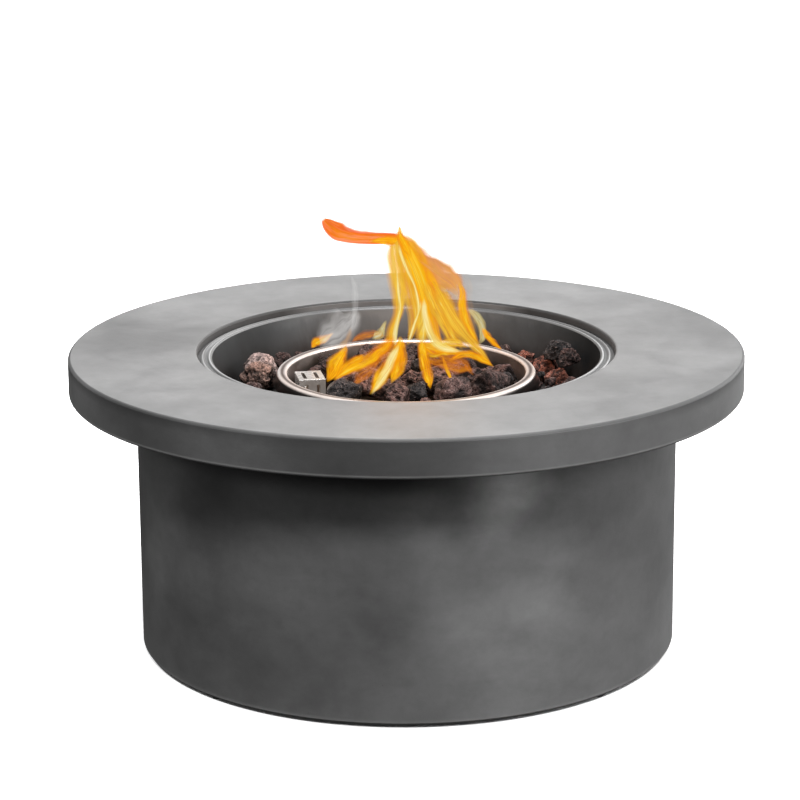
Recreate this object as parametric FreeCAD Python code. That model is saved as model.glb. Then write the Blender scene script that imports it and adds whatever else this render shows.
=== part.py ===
import FreeCAD, Part
import math
import os
import random

# A low round gas fire table: a cast fibre-cement top with a round mouth, a cast drum under it,
# a pressed steel bowl hung in the mouth, a stainless burner pan with lava rock,
# and the gas valve, igniter and inlet on the drum's rear.
# Millimetres. Z is up, the origin is the middle of the footprint on the floor, the controls face +Y.

V = FreeCAD.Vector
UP = V(0, 0, 1)
DOWN = V(0, 0, -1)
BACK = V(0, 1, 0)
FRONT = V(0, -1, 0)
LEFT = V(-1, 0, 0)

# Clearances
FIT = 0.1           # between a fastener or pipe and its hole, on the radius
RUNNING = 0.3       # between pieces that move against each other
REST_GAP = 0.3      # between one stone and what it lies on

# Tabletop
TABLE_D = 710.0
TABLE_H = 318.0
EDGE_H = 40.0
TOP_BEVEL = 2.5
LOWER_BEVEL = 2.0
DECK_T = 18.0
RIM_W = 16.0
CAST_DRAFT = 1.5
SEAT_MARGIN = 8.0
MOUTH_D = 440.0
MOUTH_BEVEL = 2.0
LEDGE_DEPTH = 10.0
LEDGE_W = 14.0
RIB_COUNT = 12
RIB_T = 10.0
RIB_H = 14.0

# Drum
DRUM_D = 570.0
DRUM_WALL = 12.0
DRUM_BEVEL = 3.0
FOOT_RING_W = 26.0
FOOT_RING_H = 24.0
VENT_W = 7.0
VENT_H = 46.0
VENT_ANGLES = (27.0, 34.0, 41.0)

# Rubber feet
FOOT_COUNT = 4
FOOT_R = 9.0
FOOT_PROUD = 3.0
FOOT_SUNK = 2.0

# Brackets that tie the top to the drum
BRACKET_ANGLES = (30.0, 150.0, 270.0)
BRACKET_T = 3.0
BRACKET_W = 40.0
BRACKET_DROP = 45.0
BRACKET_REACH = 38.0
PAD_DEPTH = 7.0
PAD_MARGIN = 5.0
BOLT_R = 3.0
BOLT_HEAD_AF = 10.0
BOLT_HEAD_H = 4.0
BOLT_GRIP = 10.0
INSERT_AF = 9.0
INSERT_L = 12.0

# Fire bowl
BOWL_T = 1.5
BOWL_DEPTH = 50.0
BOWL_FLOOR_R = 190.0
FLANGE_GAP = 3.5
BEAD_W = 6.0
BEAD_H = 2.8
GROOVE_W = 2.0
DRAIN_R = 4.0
DRAIN_COUNT = 3
DRAIN_PITCH_R = 165.0

# Burner pan
PAN_T = 1.2
PAN_R = 141.0
PAN_H = 35.0
CROWN_W = 8.0
SKIRT_W = 6.5
SKIRT_DROP = 12.0

# Burner
BURNER_R = 76.0
BURNER_W = 16.0
BURNER_H = 10.0
BURNER_LIFT = 3.0
BURNER_BAR_W = 14.0
HUB_R = 18.0
PORT_COUNT = 24
PORT_W = 1.6
PORT_L = 9.0
PORT_DEPTH = 2.5
MIXER_R = 12.0
MIXER_WALL = 1.5
MIXER_L = 58.0
MIXER_WINDOW_W = 7.0
MIXER_WINDOW_H = 9.0
MIXER_WINDOW_LIFT = 6.0
LOCKNUT_AF = 36.0
LOCKNUT_H = 6.0

# Heat shield under the bowl
SHIELD_R = 165.0
SHIELD_T = 1.0
SHIELD_EDGE = 8.0
SHIELD_DROP = 30.0
SHIELD_HOLE_R = 30.0
STUD_COUNT = 3
STUD_PITCH_R = 108.0
STUD_R = 2.5
STUD_HEAD_R = 5.0
STUD_HEAD_H = 2.2
STUD_TAIL = 2.0
SPACER_AF = 10.0
NUT_AF = 8.0
NUT_H = 4.0

# Igniter guard, electrode and flame sensor
CAGE_X = -102.0
CAGE_Y = 6.5
CAGE_TURN = 10.0
CAGE_W = 28.0
CAGE_L = 37.0
CAGE_H = 25.0
CAGE_T = 1.2
CAGE_TAB_W = 8.0
CAGE_TAB_DROP = 5.0
CAGE_SLOT_W = 3.6
CAGE_SLOT_PITCH = 13.0
CAGE_SLOT_COUNT = 2
CAGE_SLOT_EDGE = 6.0
PLATFORM_T = 1.5
PLATFORM_MARGIN = 3.0
PROBE_WINDOW_W = 25.0
PROBE_WINDOW_L = 13.0
PROBE_PITCH = 14.0
CERAMIC_R = 3.0
CERAMIC_COLLAR_R = 5.0
COLLAR_H = 3.0
CERAMIC_RISE = 13.0
CERAMIC_DROP = 22.0
TIP_R = 1.0
TIP_L = 6.0
SENSOR_R = 2.2
SENSOR_COLLAR_R = 4.0
SENSOR_RISE = 18.0
SENSOR_DROP = 20.0
SENSOR_LEAD_R = 1.5
SPARK_LEAD_R = 2.5
LEAD_BEND = 26.0
SENSOR_LEAD_BEND = 18.0

# Control panel
PANEL_Z = 165.0
POCKET_W = 156.0
POCKET_H = 104.0
POCKET_DEPTH = 17.0
POCKET_CORNER = 9.0
PAD_T = 12.0
POCKET_BORDER = 12.0
WINDOW_W = 112.0
WINDOW_H = 62.0
PLATE_T = 2.0
PLATE_GAP = 3.0
PLATE_CORNER = 6.0
PLATE_SCREW_INSET = 9.0
SCREW_R = 2.0
SCREW_HEAD_R = 3.6
SCREW_HEAD_H = 2.2
PLATE_SCREW_L = 11.0

# Gas valve
KNOB_X = 34.0
VALVE_FLANGE_W = 24.0
VALVE_FLANGE_H = 46.0
VALVE_FLANGE_T = 3.0
BONNET_R = 11.0
BONNET_L = 23.0
BLOCK_W = 30.0
BLOCK_L = 36.0
BLOCK_H = 34.0
NOSE_R = 7.0
NOSE_L = 3.2
MALE_R = 6.0
MALE_L = 12.0
SENSOR_MALE_R = 4.5
SENSOR_MALE_L = 9.0
VALVE_SCREW_PITCH = 26.0
VALVE_SCREW_HEAD_R = 3.0
STEM_R = 3.0
STEM_SUNK = 32.0

# Knob
PUSH_TRAVEL = 4.0
WASHER_R = 8.0
WASHER_T = 1.5
KNOB_R = 20.0
KNOB_GAP = 6.0
KNOB_DISC_L = 14.0
KNOB_BAR_H = 10.0
KNOB_BAR_W = 9.0
KNOB_RECESS_R = 16.5
KNOB_RECESS_L = 8.0
KNOB_BEVEL = 1.5
STEM_GRIP = 8.0
BEZEL_R = 27.0
BEZEL_W = 4.5
BEZEL_T = 2.0

# Push igniter
IGNITER_X = -38.0
IGNITER_R = 10.5
IGNITER_L = 56.0
IGNITER_FLANGE_R = 14.0
IGNITER_FLANGE_T = 3.0
IGNITER_NUT_AF = 26.0
IGNITER_NUT_H = 6.0
BUTTON_R = 9.0
BUTTON_L = 9.5
BUTTON_PROUD = 4.5
BATTERY_R = 5.2
BATTERY_L = 44.0
TERMINAL_R = 3.5
TERMINAL_L = 6.0

# Gas inlet
INLET_Z = 70.0
INLET_R = 7.94
INLET_THREAD_L = 13.0
INLET_SHANK_R = 8.0
INLET_HEX_AF = 24.0
INLET_HEX_H = 6.0
INLET_BORE_R = 3.2
INLET_BOSS_R = 18.0
INLET_FACE_R = 16.0
INLET_FACE_DEPTH = 5.5
INLET_BOSS_T = 13.5
INLET_WASHER_R = 13.0
INLET_WASHER_T = 1.5
INLET_LOCKNUT_H = 6.0
INLET_SHANK_TAIL = 2.0

# Gas pipes
PIPE_R = 4.0
PIPE_BEND = 16.0
PIPE_STRAIGHT = 4.0
FLARE_NUT_AF = 16.0
FLARE_NUT_GRIP = 8.0
FLARE_NUT_TAIL = 8.0
SENSOR_NUT_AF = 12.0
SENSOR_NUT_GRIP = 6.0
SENSOR_NUT_TAIL = 5.0
JET_R = 4.5
JET_TIP_L = 8.0
JET_HEX_AF = 14.0
JET_HEX_H = 6.0
JET_BORE_R = 1.2

# Lava rock
ROCK_PLANES = 10
CHIP_PLANES = 7
PAN_ROCK_COUNT = 26
BOWL_ROCK_COUNT = 26
CHIP_COUNT = 44
ROCK_SIZES = (24.0, 38.0)
CHIP_SIZES = (9.0, 16.0)
HEAP_RISE = 14.0
HEAP_DIP = 3.0
CAGE_AIR_SIDE = 24.0
CAGE_AIR_BACK = 24.0
CAGE_AIR_FRONT = 66.0
ROCK_SEED = 7
RING_BLOCKS = 30

# Heights
Z_UNDER = TABLE_H - EDGE_H
Z_DECK = TABLE_H - DECK_T
Z_LEDGE = TABLE_H - LEDGE_DEPTH
Z_BOWL_FLOOR = Z_LEDGE - BOWL_DEPTH
Z_BOWL_UNDER = Z_BOWL_FLOOR - BOWL_T
Z_PAN_FLOOR = Z_BOWL_FLOOR + PAN_T
Z_CROWN = Z_BOWL_FLOOR + PAN_H
Z_BURNER = Z_PAN_FLOOR + BURNER_LIFT
Z_BURNER_TOP = Z_BURNER + BURNER_H
Z_BAR_TOP = Z_BURNER_TOP - PORT_DEPTH
Z_SHIELD = Z_BOWL_UNDER - SHIELD_DROP
Z_PLATFORM = Z_PAN_FLOOR + PLATFORM_T
Z_MIXER_TOP = Z_BURNER_TOP - 2 * MIXER_WALL
Z_MIXER = Z_MIXER_TOP - MIXER_L
Z_JET = Z_MIXER - JET_HEX_H - MALE_L

# Radii
TABLE_R = TABLE_D / 2
DRUM_R = DRUM_D / 2
MOUTH_R = MOUTH_D / 2
LEDGE_R = MOUTH_R - LEDGE_W
SEAT_R = DRUM_R + SEAT_MARGIN
DRUM_IN_R = DRUM_R - DRUM_WALL
FOOT_RING_R = DRUM_R - FOOT_RING_W
FOOT_PITCH_R = (FOOT_RING_R + DRUM_R - DRUM_BEVEL) / 2
PAD_R = DRUM_IN_R - PAD_DEPTH
TOP_BOLT_R = PAD_R - BRACKET_REACH * 0.6
FLANGE_R = MOUTH_R - FLANGE_GAP
CROWN_R = PAN_R - SKIRT_W
PAN_WALL_R = CROWN_R - CROWN_W
BURNER_IN_R = BURNER_R - BURNER_W / 2
BURNER_OUT_R = BURNER_R + BURNER_W / 2
NOZZLE_HOLE_R = JET_R + FIT

# Depths of the control panel, along Y
Y_POCKET = DRUM_R - POCKET_DEPTH
Y_PAD = Y_POCKET - PAD_T
Y_PLATE = Y_POCKET + PLATE_T
PLATE_W = POCKET_W - 2 * PLATE_GAP
PLATE_H = POCKET_H - 2 * PLATE_GAP
Y_BONNET = Y_POCKET - VALVE_FLANGE_T
Y_BLOCK = Y_BONNET - BONNET_L
Y_BLOCK_REAR = Y_BLOCK - BLOCK_L
Y_OUTLET = Y_BLOCK_REAR - MALE_L
Y_VALVE_INLET = Y_BLOCK - BLOCK_L / 2
Z_VALVE_INLET = PANEL_Z - BLOCK_H / 2 - MALE_L
Y_KNOB = Y_PLATE + KNOB_GAP
Y_WASHER = Y_KNOB + RUNNING
Y_HUB = Y_WASHER + WASHER_T + RUNNING
Y_STEM_END = Y_HUB + STEM_GRIP
Y_STEM_START = Y_POCKET - STEM_SUNK
Y_IGNITER = Y_PLATE - IGNITER_L
Y_BUTTON_TOP = Y_PLATE + IGNITER_FLANGE_T + BUTTON_PROUD
Y_BUTTON = Y_BUTTON_TOP - BUTTON_L
Y_BUTTON_SEAT = Y_BUTTON - PUSH_TRAVEL - 2 * RUNNING
Y_BATTERY = Y_BUTTON_SEAT - BATTERY_L - RUNNING

# Depths of the gas inlet, along Y, from the drum's surface at the inlet
INLET_X = KNOB_X
Y_INLET_FACE = DRUM_R - INLET_FACE_DEPTH
Y_INLET_BOSS = Y_INLET_FACE - INLET_BOSS_T
Y_INLET_HEX = Y_INLET_FACE + INLET_WASHER_T
Y_INLET_LOCKNUT = Y_INLET_BOSS - INLET_WASHER_T - INLET_LOCKNUT_H
Y_INLET_SHANK = Y_INLET_LOCKNUT - INLET_SHANK_TAIL
Y_INLET_TIP = Y_INLET_SHANK - MALE_L + INLET_SHANK_TAIL


def turned(outline):
    """Solid of revolution about Z of a closed outline of (radius, height) points."""
    wire = Part.makePolygon([V(r, 0, z) for r, z in outline + outline[:1]])
    return Part.Face(wire).revolve(V(0, 0, 0), UP, 360)


def side_of(line, distance):
    """The points of a line moved sideways by a distance, with mitred corners."""
    normals = []
    for (r0, z0), (r1, z1) in zip(line, line[1:]):
        length = math.hypot(r1 - r0, z1 - z0)
        normals.append(((z0 - z1) / length, (r1 - r0) / length))
    before = normals[:1] + normals
    after = normals + normals[-1:]
    moved = []
    for (r, z), (ar, az), (br, bz) in zip(line, before, after):
        scale = distance / (1 + ar * br + az * bz)
        moved.append((r + (ar + br) * scale, z + (az + bz) * scale))
    return moved


def turned_sheet(midline, thickness):
    """A turned sheet that follows a midline of (radius, height) points."""
    outer = side_of(midline, thickness / 2)
    inner = side_of(midline, -thickness / 2)
    return turned(outer + inner[::-1])


def cylinder(radius, length, start, axis=UP):
    return Part.makeCylinder(radius, length, start, axis)


def ring(outer, inner, length, start, axis=UP):
    return cylinder(outer, length, start, axis).cut(cylinder(inner, length, start, axis))


def box(x0, x1, y0, y1, z0, z1):
    return Part.makeBox(x1 - x0, y1 - y0, z1 - z0, V(x0, y0, z0))


def placed(shape, start, axis=UP, turn=0.0):
    """The shape with its origin moved to a point and its Z turned to an axis."""
    moved = shape.copy()
    aim = FreeCAD.Rotation(UP, axis)
    moved.Placement = FreeCAD.Placement(start, aim.multiply(FreeCAD.Rotation(UP, turn)))
    return moved


def hexagon(across, length, start, axis=UP):
    corner = across / math.sqrt(3)
    angles = [math.radians(60 * i) for i in range(7)]
    wire = Part.makePolygon([V(corner * math.cos(a), corner * math.sin(a), 0) for a in angles])
    return placed(Part.Face(wire).extrude(V(0, 0, length)), start, axis)


def hex_nut(across, bore, length, start, axis=UP):
    return hexagon(across, length, start, axis).cut(cylinder(bore, length, start, axis))


def rounded_plate(width, height, corner, depth, start, axis):
    """A plate with round corners, centred on its start point, as deep as given along the axis."""
    body = Part.makeBox(width, height, depth, V(-width / 2, -height / 2, 0))
    upright = [e for e in body.Edges if abs(e.tangentAt(e.FirstParameter).z) > 0.5]
    return placed(body.makeFillet(corner, upright), start, axis)


def hex_bolt(grip, start, axis):
    """A hexagon bolt whose head sits at the start point and whose shank runs along the axis."""
    head = hexagon(BOLT_HEAD_AF, BOLT_HEAD_H, start - axis * BOLT_HEAD_H, axis)
    return head.fuse(cylinder(BOLT_R, grip, start, axis))


def round_screw(head_r, head_h, shank_r, length, start, axis):
    """A screw whose round head sits at the start point and whose shank runs along the axis."""
    head = cylinder(head_r, head_h, start - axis * head_h, axis)
    return head.fuse(cylinder(shank_r, length, start, axis))


def around(shape, angles):
    """Copies of a shape turned about the table's axis to each angle."""
    return [placed(shape, V(0, 0, 0), UP, angle) for angle in angles]


def spaced(count, first=0.0):
    return [first + 360.0 * i / count for i in range(count)]


def polar(radius, angle, z):
    a = math.radians(angle)
    return V(radius * math.cos(a), radius * math.sin(a), z)


def pipe(radius, corners, bends):
    """A round bar of straight runs joined by tangent arcs, one bend radius for each inner corner."""
    runs = []
    start = corners[0]
    for before, corner, after, bend in zip(corners, corners[1:], corners[2:], bends):
        inward = (corner - before).normalize()
        outward = (after - corner).normalize()
        turn = inward.getAngle(outward)
        setback = bend * math.tan(turn / 2)
        first = corner - inward * setback
        last = corner + outward * setback
        axis = inward.cross(outward).normalize()
        centre = first + axis.cross(inward) * bend
        section = Part.Face(Part.Wire(Part.Circle(first, inward, radius).toShape()))
        runs.append(cylinder(radius, (first - start).Length, start, inward))
        runs.append(section.revolve(centre, axis, math.degrees(turn)))
        start = last
    outward = corners[-1] - start
    runs.append(cylinder(radius, outward.Length, start, outward))
    return runs[0].fuse(runs[1:])


def fused(shape, others):
    return shape.fuse(others).removeSplitter()


# The cast body

def tabletop():
    outline = [
        (MOUTH_R + MOUTH_BEVEL, TABLE_H),
        (TABLE_R - TOP_BEVEL, TABLE_H),
        (TABLE_R, TABLE_H - TOP_BEVEL),
        (TABLE_R, Z_UNDER + LOWER_BEVEL),
        (TABLE_R - LOWER_BEVEL, Z_UNDER),
        (TABLE_R - RIM_W, Z_UNDER),
        (TABLE_R - RIM_W - CAST_DRAFT, Z_DECK),
        (SEAT_R + CAST_DRAFT, Z_DECK),
        (SEAT_R, Z_UNDER),
        (LEDGE_R, Z_UNDER),
        (LEDGE_R, Z_LEDGE),
        (MOUTH_R, Z_LEDGE),
        (MOUTH_R, TABLE_H - MOUTH_BEVEL),
    ]
    rib = box(SEAT_R - CAST_DRAFT, TABLE_R - RIM_W + CAST_DRAFT, -RIB_T / 2, RIB_T / 2,
              Z_DECK - RIB_H, Z_DECK)
    body = turned(outline).fuse(around(rib, spaced(RIB_COUNT)))
    return body.cut([hexagon(INSERT_AF, INSERT_L, polar(TOP_BOLT_R, a, Z_UNDER))
                     for a in BRACKET_ANGLES])


def drum_bolt_height():
    return Z_UNDER - BRACKET_DROP * 0.62


def outward_at(angle):
    return polar(1, angle, 0)


def base_drum():
    wall = turned([
        (DRUM_R, Z_UNDER),
        (DRUM_IN_R, Z_UNDER),
        (DRUM_IN_R, FOOT_PROUD + FOOT_RING_H),
        (FOOT_RING_R, FOOT_PROUD),
        (DRUM_R - DRUM_BEVEL, FOOT_PROUD),
        (DRUM_R, FOOT_PROUD + DRUM_BEVEL),
    ])
    half = BRACKET_W / 2 + PAD_MARGIN
    pad = box(PAD_R, DRUM_IN_R + DRUM_WALL / 4, -half, half, Z_UNDER - BRACKET_DROP - PAD_MARGIN, Z_UNDER)
    half_w = POCKET_W / 2 + POCKET_BORDER
    half_h = POCKET_H / 2 + POCKET_BORDER
    middle_r = DRUM_R - DRUM_WALL / 2
    core = cylinder(middle_r, 2 * half_h, V(0, 0, PANEL_Z - half_h))
    panel = box(-half_w, half_w, Y_PAD, DRUM_R, PANEL_Z - half_h, PANEL_Z + half_h).common(core)
    boss = cylinder(INLET_BOSS_R, middle_r - Y_INLET_BOSS, V(INLET_X, Y_INLET_BOSS, INLET_Z), BACK)
    boss = boss.common(cylinder(middle_r, Z_UNDER, V(0, 0, 0)))
    body = fused(wall, around(pad, BRACKET_ANGLES) + [panel, boss])
    return body.cut(pocket_cuts() + inlet_cuts() + vent_cuts() + foot_cuts() + drum_insert_cuts())


def pocket_cuts():
    depth = DRUM_R - Y_POCKET
    window_depth = Y_POCKET - Y_PAD
    return [
        rounded_plate(POCKET_W, POCKET_H, POCKET_CORNER, depth, V(0, Y_POCKET, PANEL_Z), BACK),
        rounded_plate(WINDOW_W, WINDOW_H, POCKET_CORNER, window_depth, V(0, Y_PAD, PANEL_Z), BACK),
    ] + [cylinder(SCREW_R + FIT, PAD_T, V(x, Y_PAD, z), BACK) for x, z in plate_screw_places()]


def inlet_cuts():
    hole = cylinder(INLET_SHANK_R + FIT, DRUM_R - Y_INLET_BOSS, V(INLET_X, Y_INLET_BOSS, INLET_Z), BACK)
    face = cylinder(INLET_FACE_R, INLET_FACE_DEPTH, V(INLET_X, Y_INLET_FACE, INLET_Z), BACK)
    return [hole, face]


def vent_cuts():
    slot = box(DRUM_IN_R - DRUM_WALL, DRUM_R + DRUM_WALL, -VENT_W / 2, VENT_W / 2,
               PANEL_Z - VENT_H / 2, PANEL_Z + VENT_H / 2)
    return around(slot, [90 + side * a for side in (-1, 1) for a in VENT_ANGLES])


def foot_cuts():
    return [cylinder(FOOT_R + FIT, FOOT_SUNK, polar(FOOT_PITCH_R, a, FOOT_PROUD))
            for a in spaced(FOOT_COUNT, 45)]


def drum_insert_cuts():
    z = drum_bolt_height()
    return [hexagon(INSERT_AF, INSERT_L, polar(PAD_R, a, z), outward_at(a)) for a in BRACKET_ANGLES]


def rubber_feet():
    return [cylinder(FOOT_R, FOOT_PROUD + FOOT_SUNK, polar(FOOT_PITCH_R, a, 0))
            for a in spaced(FOOT_COUNT, 45)]


def top_brackets():
    half = BRACKET_W / 2
    upright = box(PAD_R - BRACKET_T, PAD_R, -half, half, Z_UNDER - BRACKET_DROP, Z_UNDER)
    flat = box(PAD_R - BRACKET_REACH, PAD_R, -half, half, Z_UNDER - BRACKET_T, Z_UNDER)
    angle = fused(upright, [flat])
    holes = [
        cylinder(BOLT_R + FIT, BRACKET_T, V(TOP_BOLT_R, 0, Z_UNDER - BRACKET_T)),
        cylinder(BOLT_R + FIT, BRACKET_T, V(PAD_R - BRACKET_T, 0, drum_bolt_height()), V(1, 0, 0)),
    ]
    return around(angle.cut(holes), BRACKET_ANGLES)


def bracket_bolts():
    bolts = []
    for a in BRACKET_ANGLES:
        grip = BRACKET_T + BOLT_GRIP
        bolts.append(hex_bolt(grip, polar(TOP_BOLT_R, a, Z_UNDER - BRACKET_T), UP))
        bolts.append(hex_bolt(grip, polar(PAD_R - BRACKET_T, a, drum_bolt_height()), outward_at(a)))
    return bolts


def threaded_inserts():
    inserts = []
    for a in BRACKET_ANGLES:
        inserts.append(hex_nut(INSERT_AF, BOLT_R + FIT, INSERT_L, polar(TOP_BOLT_R, a, Z_UNDER)))
        start = polar(PAD_R, a, drum_bolt_height())
        inserts.append(hex_nut(INSERT_AF, BOLT_R + FIT, INSERT_L, start, outward_at(a)))
    return inserts


# The bowl, the pan and the burner

def stud_places():
    return [polar(STUD_PITCH_R, a, 0) for a in spaced(STUD_COUNT)]


def floor_cuts(z, depth):
    """Holes that the bowl's floor and the pan's floor share: studs, guard tabs and the probes."""
    cuts = [cylinder(STUD_R + FIT, depth, p + UP * z) for p in stud_places()]
    window = Part.makeBox(PROBE_WINDOW_W, PROBE_WINDOW_L, depth,
                          V(-PROBE_WINDOW_W / 2, -PROBE_WINDOW_L / 2, 0))
    cuts.append(cage_placed(window, z))
    cuts += [cage_placed(slot, z) for slot in cage_tabs(depth, FIT)]
    return cuts


def bowl_midline():
    z_flat = Z_LEDGE + BOWL_T / 2
    z_floor = Z_BOWL_FLOOR - BOWL_T / 2
    return [
        (FLANGE_R, z_flat),
        (FLANGE_R - BEAD_W / 2, z_flat + BEAD_H),
        (FLANGE_R - BEAD_W, z_flat),
        (FLANGE_R - BEAD_W - GROOVE_W, z_flat),
        (FLANGE_R - 1.5 * BEAD_W - GROOVE_W, z_flat + BEAD_H),
        (BOWL_FLOOR_R, z_floor),
        (MIXER_R + FIT, z_floor),
    ]


def fire_bowl():
    drains = [cylinder(DRAIN_R, BOWL_T, polar(DRAIN_PITCH_R, a, Z_BOWL_UNDER))
              for a in spaced(DRAIN_COUNT, 60)]
    return turned_sheet(bowl_midline(), BOWL_T).cut(floor_cuts(Z_BOWL_UNDER, BOWL_T) + drains)


def burner_pan():
    z_floor = Z_PAN_FLOOR - PAN_T / 2
    z_crown = Z_CROWN - PAN_T / 2
    midline = [
        (MIXER_R + FIT, z_floor),
        (PAN_WALL_R, z_floor),
        (PAN_WALL_R, z_crown),
        (CROWN_R, z_crown),
        (PAN_R, z_crown - SKIRT_DROP),
    ]
    return turned_sheet(midline, PAN_T).cut(floor_cuts(Z_BOWL_FLOOR, PAN_T))


def burner_ring():
    rim = ring(BURNER_OUT_R, BURNER_IN_R, BURNER_H, V(0, 0, Z_BURNER))
    bar = box(-BURNER_R, BURNER_R, -BURNER_BAR_W / 2, BURNER_BAR_W / 2, Z_BURNER, Z_BAR_TOP)
    hub = cylinder(HUB_R, Z_BURNER_TOP - Z_PAN_FLOOR, V(0, 0, Z_PAN_FLOOR))
    port = box(BURNER_R - PORT_L / 2, BURNER_R + PORT_L / 2, -PORT_W / 2, PORT_W / 2, Z_BAR_TOP, Z_BURNER_TOP)
    bore = cylinder(MIXER_R + FIT, Z_MIXER_TOP - Z_PAN_FLOOR, V(0, 0, Z_PAN_FLOOR))
    return rim.fuse([bar, hub]).cut(around(port, spaced(PORT_COUNT, 180 / PORT_COUNT)) + [bore])


def mixer_tube():
    bore_l = MIXER_L - MIXER_WALL
    body = cylinder(MIXER_R, MIXER_L, V(0, 0, Z_MIXER))
    bore = cylinder(MIXER_R - MIXER_WALL, bore_l, V(0, 0, Z_MIXER + MIXER_WALL))
    nozzle = cylinder(NOZZLE_HOLE_R, MIXER_WALL, V(0, 0, Z_MIXER))
    z0 = Z_MIXER + MIXER_WINDOW_LIFT
    half = MIXER_WINDOW_W / 2
    across = box(-MIXER_R, MIXER_R, -half, half, z0, z0 + MIXER_WINDOW_H)
    along = box(-half, half, -MIXER_R, MIXER_R, z0, z0 + MIXER_WINDOW_H)
    return body.cut([bore, nozzle, across, along])


def burner_locknut():
    return hex_nut(LOCKNUT_AF, MIXER_R + FIT, LOCKNUT_H, V(0, 0, Z_BOWL_UNDER - LOCKNUT_H))


def gas_jet():
    male = cylinder(MALE_R, MALE_L, V(0, 0, Z_JET))
    grip = hexagon(JET_HEX_AF, JET_HEX_H, V(0, 0, Z_MIXER - JET_HEX_H))
    tip = cylinder(JET_R, JET_TIP_L, V(0, 0, Z_MIXER))
    bore = cylinder(JET_BORE_R, Z_MIXER + JET_TIP_L - Z_JET, V(0, 0, Z_JET))
    return male.fuse([grip, tip]).cut(bore)


def pan_bolts():
    length = Z_PAN_FLOOR - Z_SHIELD + SHIELD_T + NUT_H + STUD_TAIL
    return [round_screw(STUD_HEAD_R, STUD_HEAD_H, STUD_R, length, p + UP * Z_PAN_FLOOR, DOWN)
            for p in stud_places()]


def shield_spacers():
    return [hex_nut(SPACER_AF, STUD_R + FIT, SHIELD_DROP, p + UP * Z_SHIELD) for p in stud_places()]


def heat_shield():
    z = Z_SHIELD - SHIELD_T / 2
    edge_r = SHIELD_R - SHIELD_T / 2
    sheet = turned_sheet([(SHIELD_HOLE_R, z), (edge_r, z), (edge_r, z - SHIELD_EDGE)], SHIELD_T)
    window = Part.makeBox(PROBE_WINDOW_W, PROBE_WINDOW_L, SHIELD_T,
                          V(-PROBE_WINDOW_W / 2, -PROBE_WINDOW_L / 2, 0))
    holes = [cylinder(STUD_R + FIT, SHIELD_T, p + UP * (Z_SHIELD - SHIELD_T)) for p in stud_places()]
    return sheet.cut(holes + [cage_placed(window, Z_SHIELD - SHIELD_T)])


def shield_nuts():
    z = Z_SHIELD - SHIELD_T - NUT_H
    return [hex_nut(NUT_AF, STUD_R + FIT, NUT_H, p + UP * z) for p in stud_places()]


# The igniter guard and what it guards

def cage_placed(shape, z):
    return placed(shape, V(CAGE_X, CAGE_Y, z), UP, CAGE_TURN)


def cage_point(x, y, z):
    """A point given from the guard's own middle, in the table's frame."""
    turn = FreeCAD.Rotation(UP, CAGE_TURN)
    return turn.multVec(V(x, y, 0)) + V(CAGE_X, CAGE_Y, z)


def cage_tabs(depth, clearance):
    """The two tabs at the foot of the guard's long walls, or their slots with a clearance."""
    half = CAGE_TAB_W / 2 + clearance
    tabs = []
    for side in (-1, 1):
        y = side * (CAGE_L - CAGE_T) / 2
        tabs.append(Part.makeBox(2 * half, CAGE_T + 2 * clearance, depth,
                                 V(-half, y - CAGE_T / 2 - clearance, 0)))
    return tabs


def igniter_cage():
    outer = Part.makeBox(CAGE_W, CAGE_L, CAGE_H, V(-CAGE_W / 2, -CAGE_L / 2, 0))
    inner = Part.makeBox(CAGE_W, CAGE_L - 2 * CAGE_T, CAGE_H - CAGE_T,
                         V(-CAGE_W / 2 + CAGE_T, -CAGE_L / 2 + CAGE_T, 0))
    slots = []
    for i in range(CAGE_SLOT_COUNT):
        middle = (i - (CAGE_SLOT_COUNT - 1) / 2) * CAGE_SLOT_PITCH
        slots.append(Part.makeBox(CAGE_SLOT_W, CAGE_L - 2 * CAGE_SLOT_EDGE, CAGE_T,
                                  V(middle - CAGE_SLOT_W / 2, -CAGE_L / 2 + CAGE_SLOT_EDGE, CAGE_H - CAGE_T)))
        slots.append(Part.makeBox(CAGE_SLOT_W, CAGE_L, CAGE_H - 2 * CAGE_SLOT_EDGE,
                                  V(middle - CAGE_SLOT_W / 2, -CAGE_L / 2, CAGE_SLOT_EDGE)))
    depth = PLATFORM_T + PAN_T + BOWL_T + CAGE_TAB_DROP
    tabs = [placed(tab, V(0, 0, -depth)) for tab in cage_tabs(depth, 0)]
    return cage_placed(fused(outer.cut([inner] + slots), tabs), Z_PLATFORM)


def probe_places():
    """The electrode, and the flame sensor nearer the burner."""
    return cage_point(-PROBE_PITCH / 2, 0, 0), cage_point(PROBE_PITCH / 2, 0, 0)


def probe_platform():
    width = CAGE_W + 2 * PLATFORM_MARGIN
    length = CAGE_L + 2 * PLATFORM_MARGIN
    plate = Part.makeBox(width, length, PLATFORM_T, V(-width / 2, -length / 2, 0))
    slots = cage_tabs(PLATFORM_T, FIT)
    electrode, sensor = probe_places()
    holes = [
        cylinder(CERAMIC_R + FIT, PLATFORM_T, electrode + UP * Z_PAN_FLOOR),
        cylinder(SENSOR_R + FIT, PLATFORM_T, sensor + UP * Z_PAN_FLOOR),
    ]
    return cage_placed(plate.cut(slots), Z_PAN_FLOOR).cut(holes)


def electrode_ceramic():
    place = probe_places()[0] + UP * Z_PLATFORM
    rod = cylinder(CERAMIC_R, CERAMIC_DROP + CERAMIC_RISE, place - UP * CERAMIC_DROP)
    return rod.fuse(cylinder(CERAMIC_COLLAR_R, COLLAR_H, place))


def electrode_tip():
    return cylinder(TIP_R, TIP_L, probe_places()[0] + UP * (Z_PLATFORM + CERAMIC_RISE))


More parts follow.
